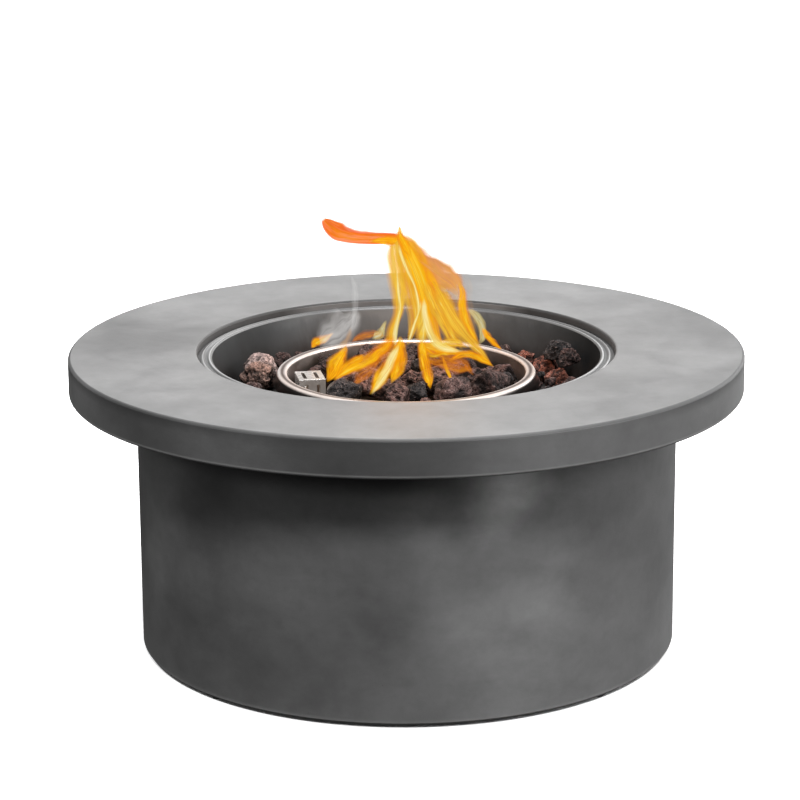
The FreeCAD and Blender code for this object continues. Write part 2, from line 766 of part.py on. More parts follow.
def flame_sensor():
    place = probe_places()[1] + UP * Z_PLATFORM
    rod = cylinder(SENSOR_R, SENSOR_DROP + SENSOR_RISE, place - UP * SENSOR_DROP)
    return rod.fuse(cylinder(SENSOR_COLLAR_R, COLLAR_H, place))


def sensor_lead():
    top = probe_places()[1] + UP * (Z_PLATFORM - SENSOR_DROP)
    end = sensor_male_tip()
    low = V(top.x, top.y, end.z)
    corner = V(end.x - SENSOR_NUT_TAIL - SENSOR_LEAD_BEND, end.y, end.z)
    return pipe(SENSOR_LEAD_R, [top, low, corner, end], [LEAD_BEND, SENSOR_LEAD_BEND])


def spark_lead():
    top = probe_places()[0] + UP * (Z_PLATFORM - CERAMIC_DROP)
    end = V(IGNITER_X, Y_IGNITER - TERMINAL_L, PANEL_Z)
    low = V(top.x, top.y, end.z)
    corner = V(end.x, end.y - LEAD_BEND, end.z)
    return pipe(SPARK_LEAD_R, [top, low, corner, end], [LEAD_BEND, LEAD_BEND])


# The control panel

def plate_screw_places():
    x = PLATE_W / 2 - PLATE_SCREW_INSET
    z = PLATE_H / 2 - PLATE_SCREW_INSET
    return [(sx * x, PANEL_Z + sz * z) for sx in (-1, 1) for sz in (-1, 1)]


def valve_screw_places():
    return [(KNOB_X, PANEL_Z + side * VALVE_SCREW_PITCH / 2) for side in (-1, 1)]


def control_plate():
    plate = rounded_plate(PLATE_W, PLATE_H, PLATE_CORNER, PLATE_T, V(0, Y_POCKET, PANEL_Z), BACK)
    screws = plate_screw_places() + valve_screw_places()
    holes = [cylinder(SCREW_R + FIT, PLATE_T, V(x, Y_POCKET, z), BACK) for x, z in screws]
    holes.append(cylinder(NOSE_R + FIT, PLATE_T, V(KNOB_X, Y_POCKET, PANEL_Z), BACK))
    holes.append(cylinder(IGNITER_R + FIT, PLATE_T, V(IGNITER_X, Y_POCKET, PANEL_Z), BACK))
    return plate.cut(holes)


def plate_screws():
    return [round_screw(SCREW_HEAD_R, SCREW_HEAD_H, SCREW_R, PLATE_SCREW_L, V(x, Y_PLATE, z), FRONT)
            for x, z in plate_screw_places()]


def gas_valve():
    y_flange = Y_POCKET - VALVE_FLANGE_T
    flange = box(KNOB_X - VALVE_FLANGE_W / 2, KNOB_X + VALVE_FLANGE_W / 2, y_flange, Y_POCKET,
                 PANEL_Z - VALVE_FLANGE_H / 2, PANEL_Z + VALVE_FLANGE_H / 2)
    axis = V(KNOB_X, 0, PANEL_Z)
    nose = cylinder(NOSE_R, NOSE_L, axis + BACK * Y_POCKET, BACK)
    bonnet = cylinder(BONNET_R, BONNET_L, axis + BACK * Y_BLOCK, BACK)
    block = box(KNOB_X - BLOCK_W / 2, KNOB_X + BLOCK_W / 2, Y_BLOCK_REAR, Y_BLOCK,
                PANEL_Z - BLOCK_H / 2, PANEL_Z + BLOCK_H / 2)
    outlet = cylinder(MALE_R, MALE_L, axis + BACK * Y_BLOCK_REAR, FRONT)
    inlet = cylinder(MALE_R, MALE_L, V(KNOB_X, Y_VALVE_INLET, PANEL_Z - BLOCK_H / 2), DOWN)
    sensor_start = V(KNOB_X - BLOCK_W / 2, Y_VALVE_INLET, PANEL_Z)
    sensor = cylinder(SENSOR_MALE_R, SENSOR_MALE_L, sensor_start, LEFT)
    body = block.fuse([flange, nose, bonnet, outlet, inlet, sensor])
    y_bore = Y_STEM_START - RUNNING
    bore = cylinder(STEM_R + RUNNING, Y_POCKET + NOSE_L - y_bore + PUSH_TRAVEL,
                    axis + BACK * (y_bore - PUSH_TRAVEL), BACK)
    threads = [cylinder(SCREW_R + FIT, VALVE_FLANGE_T, V(x, y_flange, z), BACK)
               for x, z in valve_screw_places()]
    return body.cut([bore] + threads)


def sensor_male_tip():
    return V(KNOB_X - BLOCK_W / 2 - SENSOR_MALE_L, Y_VALVE_INLET, PANEL_Z)


def valve_screws():
    length = PLATE_T + VALVE_FLANGE_T
    return [round_screw(VALVE_SCREW_HEAD_R, SCREW_HEAD_H, SCREW_R, length, V(x, Y_PLATE, z), FRONT)
            for x, z in valve_screw_places()]


def valve_stem():
    return cylinder(STEM_R, Y_STEM_END - Y_STEM_START, V(KNOB_X, Y_STEM_START, PANEL_Z), BACK)


def push_washer():
    return ring(WASHER_R, STEM_R + RUNNING, WASHER_T, V(KNOB_X, Y_WASHER, PANEL_Z), BACK)


def control_knob():
    axis = V(KNOB_X, 0, PANEL_Z)
    y_disc = Y_KNOB + KNOB_DISC_L
    barrel = cylinder(KNOB_R, KNOB_DISC_L - KNOB_BEVEL, axis + BACK * Y_KNOB, BACK)
    front = Part.makeCone(KNOB_R, KNOB_R - KNOB_BEVEL, KNOB_BEVEL, axis + BACK * (y_disc - KNOB_BEVEL), BACK)
    bar_half = KNOB_R - 2 * KNOB_BEVEL
    bar = box(-KNOB_BAR_W / 2, KNOB_BAR_W / 2, y_disc - KNOB_BEVEL, y_disc + KNOB_BAR_H, -bar_half, bar_half)
    top_edges = [e for e in bar.Edges if all(v.Y > y_disc for v in e.Vertexes)]
    bar = placed(bar.makeChamfer(KNOB_BEVEL, top_edges), axis)
    recess = ring(KNOB_RECESS_R, WASHER_R, KNOB_RECESS_L, axis + BACK * Y_KNOB, BACK)
    seat = cylinder(WASHER_R + FIT, Y_HUB - Y_KNOB, axis + BACK * Y_KNOB, BACK)
    socket = cylinder(STEM_R + FIT, STEM_GRIP, axis + BACK * Y_HUB, BACK)
    return barrel.fuse([front, bar]).cut([recess, seat, socket])


def knob_bezel():
    return ring(BEZEL_R, BEZEL_R - BEZEL_W, BEZEL_T, V(KNOB_X, Y_PLATE, PANEL_Z), BACK)


def igniter_housing():
    axis = V(IGNITER_X, 0, PANEL_Z)
    barrel = cylinder(IGNITER_R, IGNITER_L, axis + BACK * Y_IGNITER, BACK)
    flange = cylinder(IGNITER_FLANGE_R, IGNITER_FLANGE_T, axis + BACK * Y_PLATE, BACK)
    terminal = cylinder(TERMINAL_R, TERMINAL_L, axis + BACK * (Y_IGNITER - TERMINAL_L), BACK)
    front_y = Y_PLATE + IGNITER_FLANGE_T
    bore = cylinder(BUTTON_R + RUNNING, front_y - Y_BUTTON_SEAT, axis + BACK * Y_BUTTON_SEAT, BACK)
    cell = cylinder(BATTERY_R + RUNNING, Y_BUTTON_SEAT - Y_BATTERY, axis + BACK * Y_BATTERY, BACK)
    return barrel.fuse([flange, terminal]).cut([bore, cell])


def igniter_nut():
    start = V(IGNITER_X, Y_POCKET - IGNITER_NUT_H, PANEL_Z)
    return hex_nut(IGNITER_NUT_AF, IGNITER_R + FIT, IGNITER_NUT_H, start, BACK)


def igniter_button():
    start = V(IGNITER_X, Y_BUTTON, PANEL_Z)
    straight = BUTTON_L - KNOB_BEVEL
    body = cylinder(BUTTON_R, straight, start, BACK)
    top = Part.makeCone(BUTTON_R, BUTTON_R - KNOB_BEVEL, KNOB_BEVEL, start + BACK * straight, BACK)
    return body.fuse(top)


def igniter_battery():
    return cylinder(BATTERY_R, BATTERY_L, V(IGNITER_X, Y_BATTERY, PANEL_Z), BACK)


# The gas inlet and the pipes

def gas_inlet_union():
    axis = V(INLET_X, 0, INLET_Z)
    grip = hexagon(INLET_HEX_AF, INLET_HEX_H, axis + BACK * Y_INLET_HEX, BACK)
    y_thread = Y_INLET_HEX + INLET_HEX_H
    cone_l = INLET_R - INLET_BORE_R - 1
    thread = cylinder(INLET_R, INLET_THREAD_L, axis + BACK * y_thread, BACK)
    cone = Part.makeCone(INLET_R, INLET_BORE_R + 1, cone_l, axis + BACK * (y_thread + INLET_THREAD_L), BACK)
    shank = cylinder(INLET_SHANK_R, Y_INLET_HEX - Y_INLET_SHANK, axis + BACK * Y_INLET_SHANK, BACK)
    male = cylinder(MALE_R, Y_INLET_SHANK - Y_INLET_TIP, axis + BACK * Y_INLET_TIP, BACK)
    length = y_thread + INLET_THREAD_L + cone_l - Y_INLET_TIP
    bore = cylinder(INLET_BORE_R, length, axis + BACK * Y_INLET_TIP, BACK)
    return grip.fuse([thread, cone, shank, male]).cut(bore)


def inlet_washers():
    starts = (Y_INLET_FACE, Y_INLET_BOSS - INLET_WASHER_T)
    return [ring(INLET_WASHER_R, INLET_SHANK_R + FIT, INLET_WASHER_T, V(INLET_X, y, INLET_Z), BACK)
            for y in starts]


def inlet_locknut():
    start = V(INLET_X, Y_INLET_LOCKNUT, INLET_Z)
    return hex_nut(INLET_HEX_AF, INLET_SHANK_R + FIT, INLET_LOCKNUT_H, start, BACK)


def inlet_pipe():
    start = V(INLET_X, Y_INLET_TIP, INLET_Z)
    corner = V(KNOB_X, Y_VALVE_INLET, INLET_Z)
    end = V(KNOB_X, Y_VALVE_INLET, Z_VALVE_INLET)
    return pipe(PIPE_R, [start, corner, end], [PIPE_BEND])


def burner_pipe():
    start = V(KNOB_X, Y_OUTLET, PANEL_Z)
    knee = V(KNOB_X, Y_OUTLET - 2 * PIPE_BEND - FLARE_NUT_TAIL, PANEL_Z)
    foot = V(0, 0, min(PANEL_Z, Z_JET - FLARE_NUT_TAIL - PIPE_BEND - PIPE_STRAIGHT))
    end = V(0, 0, Z_JET)
    return pipe(PIPE_R, [start, knee, foot, end], [2 * PIPE_BEND, PIPE_BEND])


def union_nut(across, male_r, pipe_r, grip, tail, tip, axis):
    """A nut over a threaded end, whose tail runs along the axis over the pipe."""
    start = tip - axis * grip
    cuts = [cylinder(male_r + FIT, grip, start, axis), cylinder(pipe_r + FIT, tail, tip, axis)]
    return hexagon(across, grip + tail, start, axis).cut(cuts)


def flare_nuts():
    ends = [
        (V(INLET_X, Y_INLET_TIP, INLET_Z), FRONT),
        (V(KNOB_X, Y_VALVE_INLET, Z_VALVE_INLET), DOWN),
        (V(KNOB_X, Y_OUTLET, PANEL_Z), FRONT),
        (V(0, 0, Z_JET), DOWN),
    ]
    return [union_nut(FLARE_NUT_AF, MALE_R, PIPE_R, FLARE_NUT_GRIP, FLARE_NUT_TAIL, tip, axis)
            for tip, axis in ends]


def sensor_nut():
    return union_nut(SENSOR_NUT_AF, SENSOR_MALE_R, SENSOR_LEAD_R, SENSOR_NUT_GRIP, SENSOR_NUT_TAIL,
                     sensor_male_tip(), LEFT)


# Lava rock. A stone is a convex body, kept as its planes (nx, ny, nz, d) with n.p <= d.

def plane_span(planes, x, y):
    """The lowest and highest point of a stone on the upright line at x, y, or None."""
    low, high = -1e9, 1e9
    for nx, ny, nz, d in planes:
        room = d - nx * x - ny * y
        if abs(nz) < 1e-9:
            if room < 0:
                return None
        elif nz > 0:
            high = min(high, room / nz)
        else:
            low = max(low, room / nz)
    return (low, high) if low < high else None


def clip(polygon, plane):
    nx, ny, nz, d = plane
    kept = []
    heights = [nx * p[0] + ny * p[1] + nz * p[2] - d for p in polygon]
    for i, point in enumerate(polygon):
        j = (i + 1) % len(polygon)
        if heights[i] <= 0:
            kept.append(point)
        if (heights[i] <= 0) != (heights[j] <= 0):
            t = heights[i] / (heights[i] - heights[j])
            kept.append(tuple(a + (b - a) * t for a, b in zip(point, polygon[j])))
    return kept


def facets(planes):
    """The faces of the body inside all the planes, each a list of corner points."""
    corners = []
    found = []
    for i, (nx, ny, nz, d) in enumerate(planes):
        normal = V(nx, ny, nz)
        side = normal.cross(UP if abs(nz) < 0.9 else BACK).normalize()
        other = normal.cross(side)
        middle = normal * d
        reach = 500.0
        polygon = [tuple(middle + side * (a * reach) + other * (b * reach))
                   for a, b in ((1, 1), (-1, 1), (-1, -1), (1, -1))]
        for j, plane in enumerate(planes):
            if j != i and polygon:
                polygon = clip(polygon, plane)
        face = []
        for point in polygon:
            same = [c for c in corners if math.dist(c, point) < 1e-4]
            corner = same[0] if same else point
            if not same:
                corners.append(point)
            if corner not in face:
                face.append(corner)
        if len(face) > 2:
            found.append(face)
    return found


class Stone:
    """A convex stone with its planes, faces, corners and edges."""

    def __init__(self, planes):
        self.planes = planes
        self.faces = facets(planes)
        self.corners = []
        self.edges = []
        for face in self.faces:
            for a, b in zip(face, face[1:] + face[:1]):
                if a not in self.corners:
                    self.corners.append(a)
                if (b, a) not in self.edges:
                    self.edges.append((a, b))
        self.x0, self.x1 = min(c[0] for c in self.corners), max(c[0] for c in self.corners)
        self.y0, self.y1 = min(c[1] for c in self.corners), max(c[1] for c in self.corners)
        self.top = max(c[2] for c in self.corners)

    def moved(self, dx, dy, dz):
        return Stone([(nx, ny, nz, d + nx * dx + ny * dy + nz * dz) for nx, ny, nz, d in self.planes])

    def solid(self):
        walls = []
        for face in self.faces:
            points = [V(*p) for p in face]
            walls.append(Part.Face(Part.makePolygon(points + points[:1])))
        return Part.Solid(Part.Shell(walls))


def beside(a, b):
    return a.x1 < b.x0 or b.x1 < a.x0 or a.y1 < b.y0 or b.y1 < a.y0


def crossing(p, q, r, s):
    """The heights of two edges where they cross seen from above, or None."""
    ux, uy = q[0] - p[0], q[1] - p[1]
    vx, vy = s[0] - r[0], s[1] - r[1]
    area = ux * vy - uy * vx
    if abs(area) < 1e-9:
        return None
    wx, wy = r[0] - p[0], r[1] - p[1]
    t = (wx * vy - wy * vx) / area
    u = (wx * uy - wy * ux) / area
    if 0 <= t <= 1 and 0 <= u <= 1:
        return p[2] + t * (q[2] - p[2]), r[2] + u * (s[2] - r[2])
    return None


def lift_over(stone, other):
    """How far a stone rises to lie on another one, or None where they don't meet from above."""
    if beside(stone, other):
        return None
    lifts = []
    for x, y, z in stone.corners:
        span = plane_span(other.planes, x, y)
        if span:
            lifts.append(span[1] - z)
    for x, y, z in other.corners:
        span = plane_span(stone.planes, x, y)
        if span:
            lifts.append(z - span[0])
    for p, q in stone.edges:
        for r, s in other.edges:
            heights = crossing(p, q, r, s)
            if heights:
                lifts.append(heights[1] - heights[0])
    return max(lifts) if lifts else None


def prism(corners, low, high):
    """An upright convex prism over corner points in order, as a stone to lie on."""
    planes = [(0, 0, 1, high), (0, 0, -1, -low)]
    for (x0, y0), (x1, y1) in zip(corners, corners[1:] + corners[:1]):
        length = math.hypot(x1 - x0, y1 - y0)
        nx, ny = (y1 - y0) / length, (x0 - x1) / length
        planes.append((nx, ny, 0, nx * x0 + ny * y0))
    return Stone(planes)


def ring_stones(section, count):
    """Straight blocks that cover a ring whose section is given as planes (nr, nz, d)."""
    blocks = []
    for i in range(count):
        start, middle, end = (2 * math.pi * (i + share) / count for share in (0.0, 0.5, 1.0))
        planes = [(nr * math.cos(middle), nr * math.sin(middle), nz, d) for nr, nz, d in section]
        planes.append((math.sin(start), -math.cos(start), 0, 0))
        planes.append((-math.sin(end), math.cos(end), 0, 0))
        blocks.append(Stone(planes))
    return blocks


def burner_blocks():
    inner = BURNER_IN_R * math.cos(math.pi / RING_BLOCKS)
    section = [(0, 1, Z_BURNER_TOP), (0, -1, -Z_BURNER), (1, 0, BURNER_OUT_R), (-1, 0, -inner)]
    return ring_stones(section, RING_BLOCKS)


def rim_blocks():
    """The pan's wall, crown and sloping skirt, as solid blocks."""
    inner = (PAN_WALL_R - PAN_T / 2) * math.cos(math.pi / RING_BLOCKS)
    slant = math.hypot(SKIRT_W, SKIRT_DROP)
    nr, nz = SKIRT_DROP / slant, SKIRT_W / slant
    skirt = nr * CROWN_R + nz * (Z_CROWN - PAN_T / 2) + PAN_T / 2
    section = [(0, 1, Z_CROWN), (0, -1, -Z_BOWL_FLOOR), (1, 0, PAN_R), (-1, 0, -inner), (nr, nz, skirt)]
    return ring_stones(section, RING_BLOCKS)


def round_prism(x, y, radius, low, high):
    wide = radius / math.cos(math.pi / 8)
    angles = [math.pi * i / 4 for i in range(8)]
    return prism([(x + wide * math.cos(a), y + wide * math.sin(a)) for a in angles], low, high)


def cage_prism():
    corners = [cage_point(sx * CAGE_W / 2, sy * CAGE_L / 2, 0) for sx, sy in
               ((-1, -1), (1, -1), (1, 1), (-1, 1))]
    grown = 1 + 2 * (PLATFORM_MARGIN + FIT) / CAGE_W
    wide = [V(CAGE_X, CAGE_Y, 0) + (c - V(CAGE_X, CAGE_Y, 0)) * grown for c in corners]
    return [prism([(c.x, c.y) for c in corners], Z_PAN_FLOOR, Z_PLATFORM + CAGE_H),
            prism([(c.x, c.y) for c in wide], Z_PAN_FLOOR, Z_PLATFORM)]


def cage_air():
    """The air over and in front of the cage, where no loose stone lies."""
    left, right = CAGE_X - CAGE_AIR_SIDE, CAGE_X + CAGE_AIR_SIDE
    front, back = CAGE_Y - CAGE_AIR_FRONT, CAGE_Y + CAGE_AIR_BACK
    return prism([(left, front), (right, front), (right, back), (left, back)],
                 Z_PAN_FLOOR, Z_CROWN + HEAP_RISE)


def rough_stone(size, turn, count, dice):
    """A stone of a size in x, y and z: planes all round it, each at its own depth."""
    a, b, c = (s / 2 for s in size)
    planes = [(0, 0, -1, c * 0.8)]
    for i in range(count - 1):
        z = 1 - 2 * (i + 0.35) / (count - 0.6)
        flat = math.sqrt(max(0.0, 1 - z * z))
        angle = i * 2.39996 + dice.uniform(-0.35, 0.35)
        x, y = flat * math.cos(angle), flat * math.sin(angle)
        depth = math.hypot(a * x, b * y, c * z) * dice.uniform(0.86, 1.0)
        s, t = math.sin(turn), math.cos(turn)
        planes.append((x * t - y * s, x * s + y * t, z, depth))
    return Stone(planes)


def settled(stone, x, y, floor, others):
    """The stone dropped at x, y until it lies on the floor or on another stone."""
    placed_stone = stone.moved(x, y, 0)
    bottom = min(c[2] for c in placed_stone.corners)
    lift = floor - bottom
    for other in others:
        rise = lift_over(placed_stone, other)
        if rise is not None:
            lift = max(lift, rise)
    return placed_stone.moved(0, 0, lift + REST_GAP)


def wall_radius(z):
    """The bowl's inner radius at a height."""
    (r1, z1), (r0, z0) = side_of(bowl_midline(), -BOWL_T / 2)[4:6]
    share = min(max((z - z0) / (z1 - z0), 0.0), 1.0)
    return r0 + (r1 - r0) * share


def in_bowl(stone, margin=0.6):
    return all(math.hypot(x, y) < wall_radius(z) - margin for x, y, z in stone.corners)


def in_pan(stone, margin=0.6):
    inside = PAN_WALL_R - PAN_T / 2 - margin
    for x, y, z in stone.corners:
        limit = inside if z < Z_CROWN + REST_GAP else PAN_R
        if math.hypot(x, y) > limit:
            return False
    return True


def mound(stone):
    """The height that a stone in the pan may reach: high in the middle, low at the wall."""
    x = sum(c[0] for c in stone.corners) / len(stone.corners)
    y = sum(c[1] for c in stone.corners) / len(stone.corners)
    share = math.hypot(x, y) / PAN_WALL_R
    return Z_CROWN + HEAP_RISE - (HEAP_RISE + HEAP_DIP) * share ** 2


def heap(count, planes, sizes, region, floor, others, fits, ceiling, dice):
    """Stones dropped one by one, each at the lowest of a few places where it fits."""
    stones = []
    for _ in range(30 * count):
        if len(stones) == count:
            break
        size = dice.uniform(*sizes)
        stone = rough_stone((size, size * dice.uniform(0.7, 0.95), size * dice.uniform(0.62, 0.85)),
                            dice.uniform(0, math.pi), planes, dice)
        best = None
        for _ in range(6):
            radius = math.sqrt(dice.uniform(region[0] ** 2, region[1] ** 2))
            angle = dice.uniform(0, 2 * math.pi)
            trial = settled(stone, radius * math.cos(angle), radius * math.sin(angle), floor,
                            others + stones)
            if fits(trial) and trial.top < ceiling(trial) and (best is None or trial.top < best.top):
                best = trial
        if best:
            stones.append(best)
    return stones


def chosen(places, planes, floor, others, fits, dice):
    """Stones of a given size and turn at given places, in order."""
    stones = []
    for x, y, size, turn in places:
        stone = rough_stone(size, math.radians(turn), planes, dice)
        trial = settled(stone, x, y, floor, others + stones)
        if fits(trial):
            stones.append(trial)
    return stones


# The stones that show most: place, size and turn
PAN_STONES = [
    (-94.0, 52.0, (32.0, 24.0, 27.0), 10.0),
    (-78.0, 74.0, (22.0, 20.0, 28.0), 40.0),
    (-40.0, 92.0, (34.0, 26.0, 40.0), 25.0),
    (101.0, 22.0, (34.0, 28.0, 36.0), 100.0),
    (-66.0, -73.0, (36.0, 28.0, 34.0), 15.0),
    (-97.0, -44.0, (24.0, 22.0, 24.0), 60.0),
    (-50.0, -20.0, (46.0, 36.0, 34.0), 35.0),
    (-9.0, -88.0, (24.0, 22.0, 34.0), 5.0),
    (20.0, -97.0, (20.0, 20.0, 33.0), 100.0),
    (47.0, -76.0, (40.0, 30.0, 34.0), 160.0),
    (88.0, -50.0, (38.0, 32.0, 36.0), 30.0),
    (36.0, -14.0, (48.0, 36.0, 32.0), 130.0),
    (6.0, 44.0, (32.0, 28.0, 34.0), 75.0),
    (58.0, 46.0, (36.0, 30.0, 32.0), 95.0),
]
BOWL_STONES = [
    (-157.0, 60.0, (36.0, 32.0, 43.0), 78.0),
    (-158.0, 22.0, (32.0, 28.0, 30.0), 30.0),
    (-138.0, 106.0, (26.0, 20.0, 24.0), 55.0),
    (-116.0, 132.0, (24.0, 20.0, 22.0), 45.0),
    (-88.0, 150.0, (22.0, 20.0, 20.0), 30.0),
    (-160.0, -16.0, (28.0, 24.0, 28.0), 87.0),
    (129.0, 115.0, (24.0, 22.0, 28.0), 30.0),
    (108.0, 140.0, (22.0, 22.0, 28.0), 85.0),
    (152.0, 83.0, (30.0, 26.0, 28.0), 60.0),
    (163.0, 40.0, (30.0, 28.0, 26.0), 75.0),
    (163.0, 73.0, (32.0, 26.0, 19.0), 65.0),
    (174.0, 42.0, (27.0, 20.0, 18.0), 75.0),
    (174.0, 8.0, (22.0, 20.0, 26.0), 15.0),
]


def lava_rock():
    """The stones in the pan, the stones round it and the chips."""
    dice = random.Random(ROCK_SEED)
    works = burner_blocks()
    works.append(prism([(-BURNER_R, -BURNER_BAR_W / 2), (BURNER_R, -BURNER_BAR_W / 2),
                        (BURNER_R, BURNER_BAR_W / 2), (-BURNER_R, BURNER_BAR_W / 2)],
                       Z_BURNER, Z_BAR_TOP))
    works.append(round_prism(0, 0, HUB_R, Z_PAN_FLOOR, Z_BURNER_TOP))
    for p in stud_places():
        works.append(round_prism(p.x, p.y, STUD_HEAD_R, Z_PAN_FLOOR, Z_PAN_FLOOR + STUD_HEAD_H))
    works += cage_prism()
    rim = rim_blocks()
    pan = chosen(PAN_STONES, ROCK_PLANES, Z_PAN_FLOOR, works + rim, in_pan, dice)
    pan += heap(PAN_ROCK_COUNT, ROCK_PLANES, ROCK_SIZES, (0, PAN_WALL_R), Z_PAN_FLOOR,
                works + rim + pan + [cage_air()], in_pan, mound, dice)
    bowl = chosen(BOWL_STONES, ROCK_PLANES, Z_BOWL_FLOOR, rim, in_bowl, dice)
    bowl += heap(BOWL_ROCK_COUNT, ROCK_PLANES, ROCK_SIZES, (PAN_R, BOWL_FLOOR_R), Z_BOWL_FLOOR,
                 rim + bowl, in_bowl, lambda stone: Z_CROWN, dice)
    chips = heap(CHIP_COUNT, CHIP_PLANES, CHIP_SIZES, (PAN_R, BOWL_FLOOR_R), Z_BOWL_FLOOR,
                 rim + bowl, in_bowl, lambda stone: Z_CROWN - HEAP_RISE, dice)
    return pan, bowl, chips


def solids(stones):
    return [stone.solid() for stone in stones]


def pieces():
    """Every piece of the table by name, as one shape or a list of equal ones."""
    pan_stones, bowl_stones, chip_stones = lava_rock()
    return {
        "tabletop": tabletop(),
        "base_drum": base_drum(),
        "rubber_feet": rubber_feet(),
        "top_brackets": top_brackets(),
        "bracket_bolts": bracket_bolts(),
        "threaded_inserts": threaded_inserts(),
        "fire_bowl": fire_bowl(),
        "burner_pan": burner_pan(),
        "burner_ring": burner_ring(),
        "mixer_tube": mixer_tube(),
        "burner_locknut": burner_locknut(),
        "gas_jet": gas_jet(),
        "pan_bolts": pan_bolts(),
        "shield_spacers": shield_spacers(),
        "heat_shield": heat_shield(),
        "shield_nuts": shield_nuts(),
        "igniter_cage": igniter_cage(),
        "probe_platform": probe_platform(),
        "electrode_ceramic": electrode_ceramic(),
        "electrode_tip": electrode_tip(),
        "flame_sensor": flame_sensor(),
        "sensor_lead": sensor_lead(),
        "sensor_nut": sensor_nut(),
        "spark_lead": spark_lead(),
        "control_plate": control_plate(),
        "plate_screws": plate_screws(),
        "gas_valve": gas_valve(),
        "valve_screws": valve_screws(),
        "valve_stem": valve_stem(),
        "push_washer": push_washer(),
        "control_knob": control_knob(),
        "knob_bezel": knob_bezel(),
        "igniter_housing": igniter_housing(),
        "igniter_nut": igniter_nut(),
        "igniter_button": igniter_button(),
        "igniter_battery": igniter_battery(),
        "gas_inlet_union": gas_inlet_union(),
        "inlet_washers": inlet_washers(),
        "inlet_locknut": inlet_locknut(),
        "inlet_pipe": inlet_pipe(),
        "burner_pipe": burner_pipe(),
        "flare_nuts": flare_nuts(),
        "lava_rocks_pan": solids(pan_stones),
        "lava_rocks_bowl": solids(bowl_stones),
        "lava_chips": solids(chip_stones),
    }


os.makedirs("parts", exist_ok=True)
for name, shape in pieces().items():
    group = Part.makeCompound(shape) if isinstance(shape, list) else shape
    group.exportStep("parts/" + name + ".step")
    print(name, len(group.Solids), round(group.Volume / 1000, 2))
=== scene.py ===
import math

import bmesh
import bpy
import numpy as np
from mathutils import Matrix, Vector


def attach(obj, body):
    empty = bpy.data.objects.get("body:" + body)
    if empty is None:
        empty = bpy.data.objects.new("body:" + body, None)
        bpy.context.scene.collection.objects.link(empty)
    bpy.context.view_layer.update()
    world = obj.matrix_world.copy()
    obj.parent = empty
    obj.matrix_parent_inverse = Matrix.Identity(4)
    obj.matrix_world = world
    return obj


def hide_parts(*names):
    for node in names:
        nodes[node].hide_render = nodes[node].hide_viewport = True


# A round gas fire table in cast fibre-cement. Metres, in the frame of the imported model.

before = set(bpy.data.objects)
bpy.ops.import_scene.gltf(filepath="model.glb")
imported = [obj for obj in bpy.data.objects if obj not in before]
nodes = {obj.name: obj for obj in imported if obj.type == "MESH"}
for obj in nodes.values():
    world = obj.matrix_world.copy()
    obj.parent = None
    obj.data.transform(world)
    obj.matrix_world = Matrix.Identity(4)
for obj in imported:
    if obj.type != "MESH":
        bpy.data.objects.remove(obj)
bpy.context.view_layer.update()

MM = 0.001
SEED = 11

# Sizes repeated from the part, in metres
TABLE_R = 0.355
TABLE_TOP = 0.318
TABLE_UNDER = 0.278
MOUTH_R = 0.220
DRUM_R = 0.285
DRUM_FOOT = 0.003
PAN_RIM_R = 0.141
PAN_CROWN = 0.293
PAN_BAND_R = 0.1312
PAN_FLOOR = 0.262
BOWL_FLOOR = 0.258
BOWL_DEPTH = 0.052
BEAD_CROWNS = (0.2072, 0.2145)
KNOB_AXIS = (0.034, 0.165)
PANEL_FACE_Y = 0.270


# Node trees

def add(tree, kind, inputs=None, **settings):
    """A shader node with its settings, and each input linked or set."""
    node = tree.nodes.new(kind)
    for name, value in settings.items():
        setattr(node, name, value)
    for name, value in (inputs or {}).items():
        socket = node.inputs[name]
        if isinstance(value, bpy.types.NodeSocket):
            tree.links.new(value, socket)
        else:
            socket.default_value = value
    return node


def math_node(tree, operation, *values, clamp=False):
    inputs = dict(enumerate(values))
    return add(tree, "ShaderNodeMath", inputs, operation=operation, use_clamp=clamp).outputs[0]


def times(tree, a, b, clamp=False):
    return math_node(tree, "MULTIPLY", a, b, clamp=clamp)


def plus(tree, a, b, clamp=False):
    return math_node(tree, "ADD", a, b, clamp=clamp)


def minus(tree, a, b, clamp=False):
    return math_node(tree, "SUBTRACT", a, b, clamp=clamp)


def divided(tree, a, b, clamp=False):
    return math_node(tree, "DIVIDE", a, b, clamp=clamp)


def is_more(tree, a, b):
    return math_node(tree, "GREATER_THAN", a, b)


def is_less(tree, a, b):
    return math_node(tree, "LESS_THAN", a, b)


def vector_node(tree, operation, a, b, output="Vector"):
    return add(tree, "ShaderNodeVectorMath", {0: a, 1: b}, operation=operation).outputs[output]


def split(tree, vector):
    return add(tree, "ShaderNodeSeparateXYZ", {"Vector": vector}).outputs


def attribute(tree, name, output="Fac"):
    return add(tree, "ShaderNodeAttribute", attribute_name=name).outputs[output]


def span(tree, value, low, high, easing="LINEAR"):
    """0 where a value is at low, 1 where it is at high."""
    return add(tree, "ShaderNodeMapRange", {"Value": value, "From Min": low, "From Max": high},
               interpolation_type=easing).outputs[0]


def eased(tree, value, low, high):
    return span(tree, value, low, high, "SMOOTHSTEP")


def ramp(tree, factor, stops):
    """A colour ramp through (place, colour) stops; a number stands for a grey."""
    node = add(tree, "ShaderNodeValToRGB", {"Fac": factor})
    elements = node.color_ramp.elements
    while len(elements) < len(stops):
        elements.new(1.0)
    for element, (place, colour) in zip(elements, stops):
        element.position = place
        grey = isinstance(colour, (int, float))
        element.color = (colour, colour, colour, 1) if grey else (*colour, 1)
    return node.outputs["Color"]


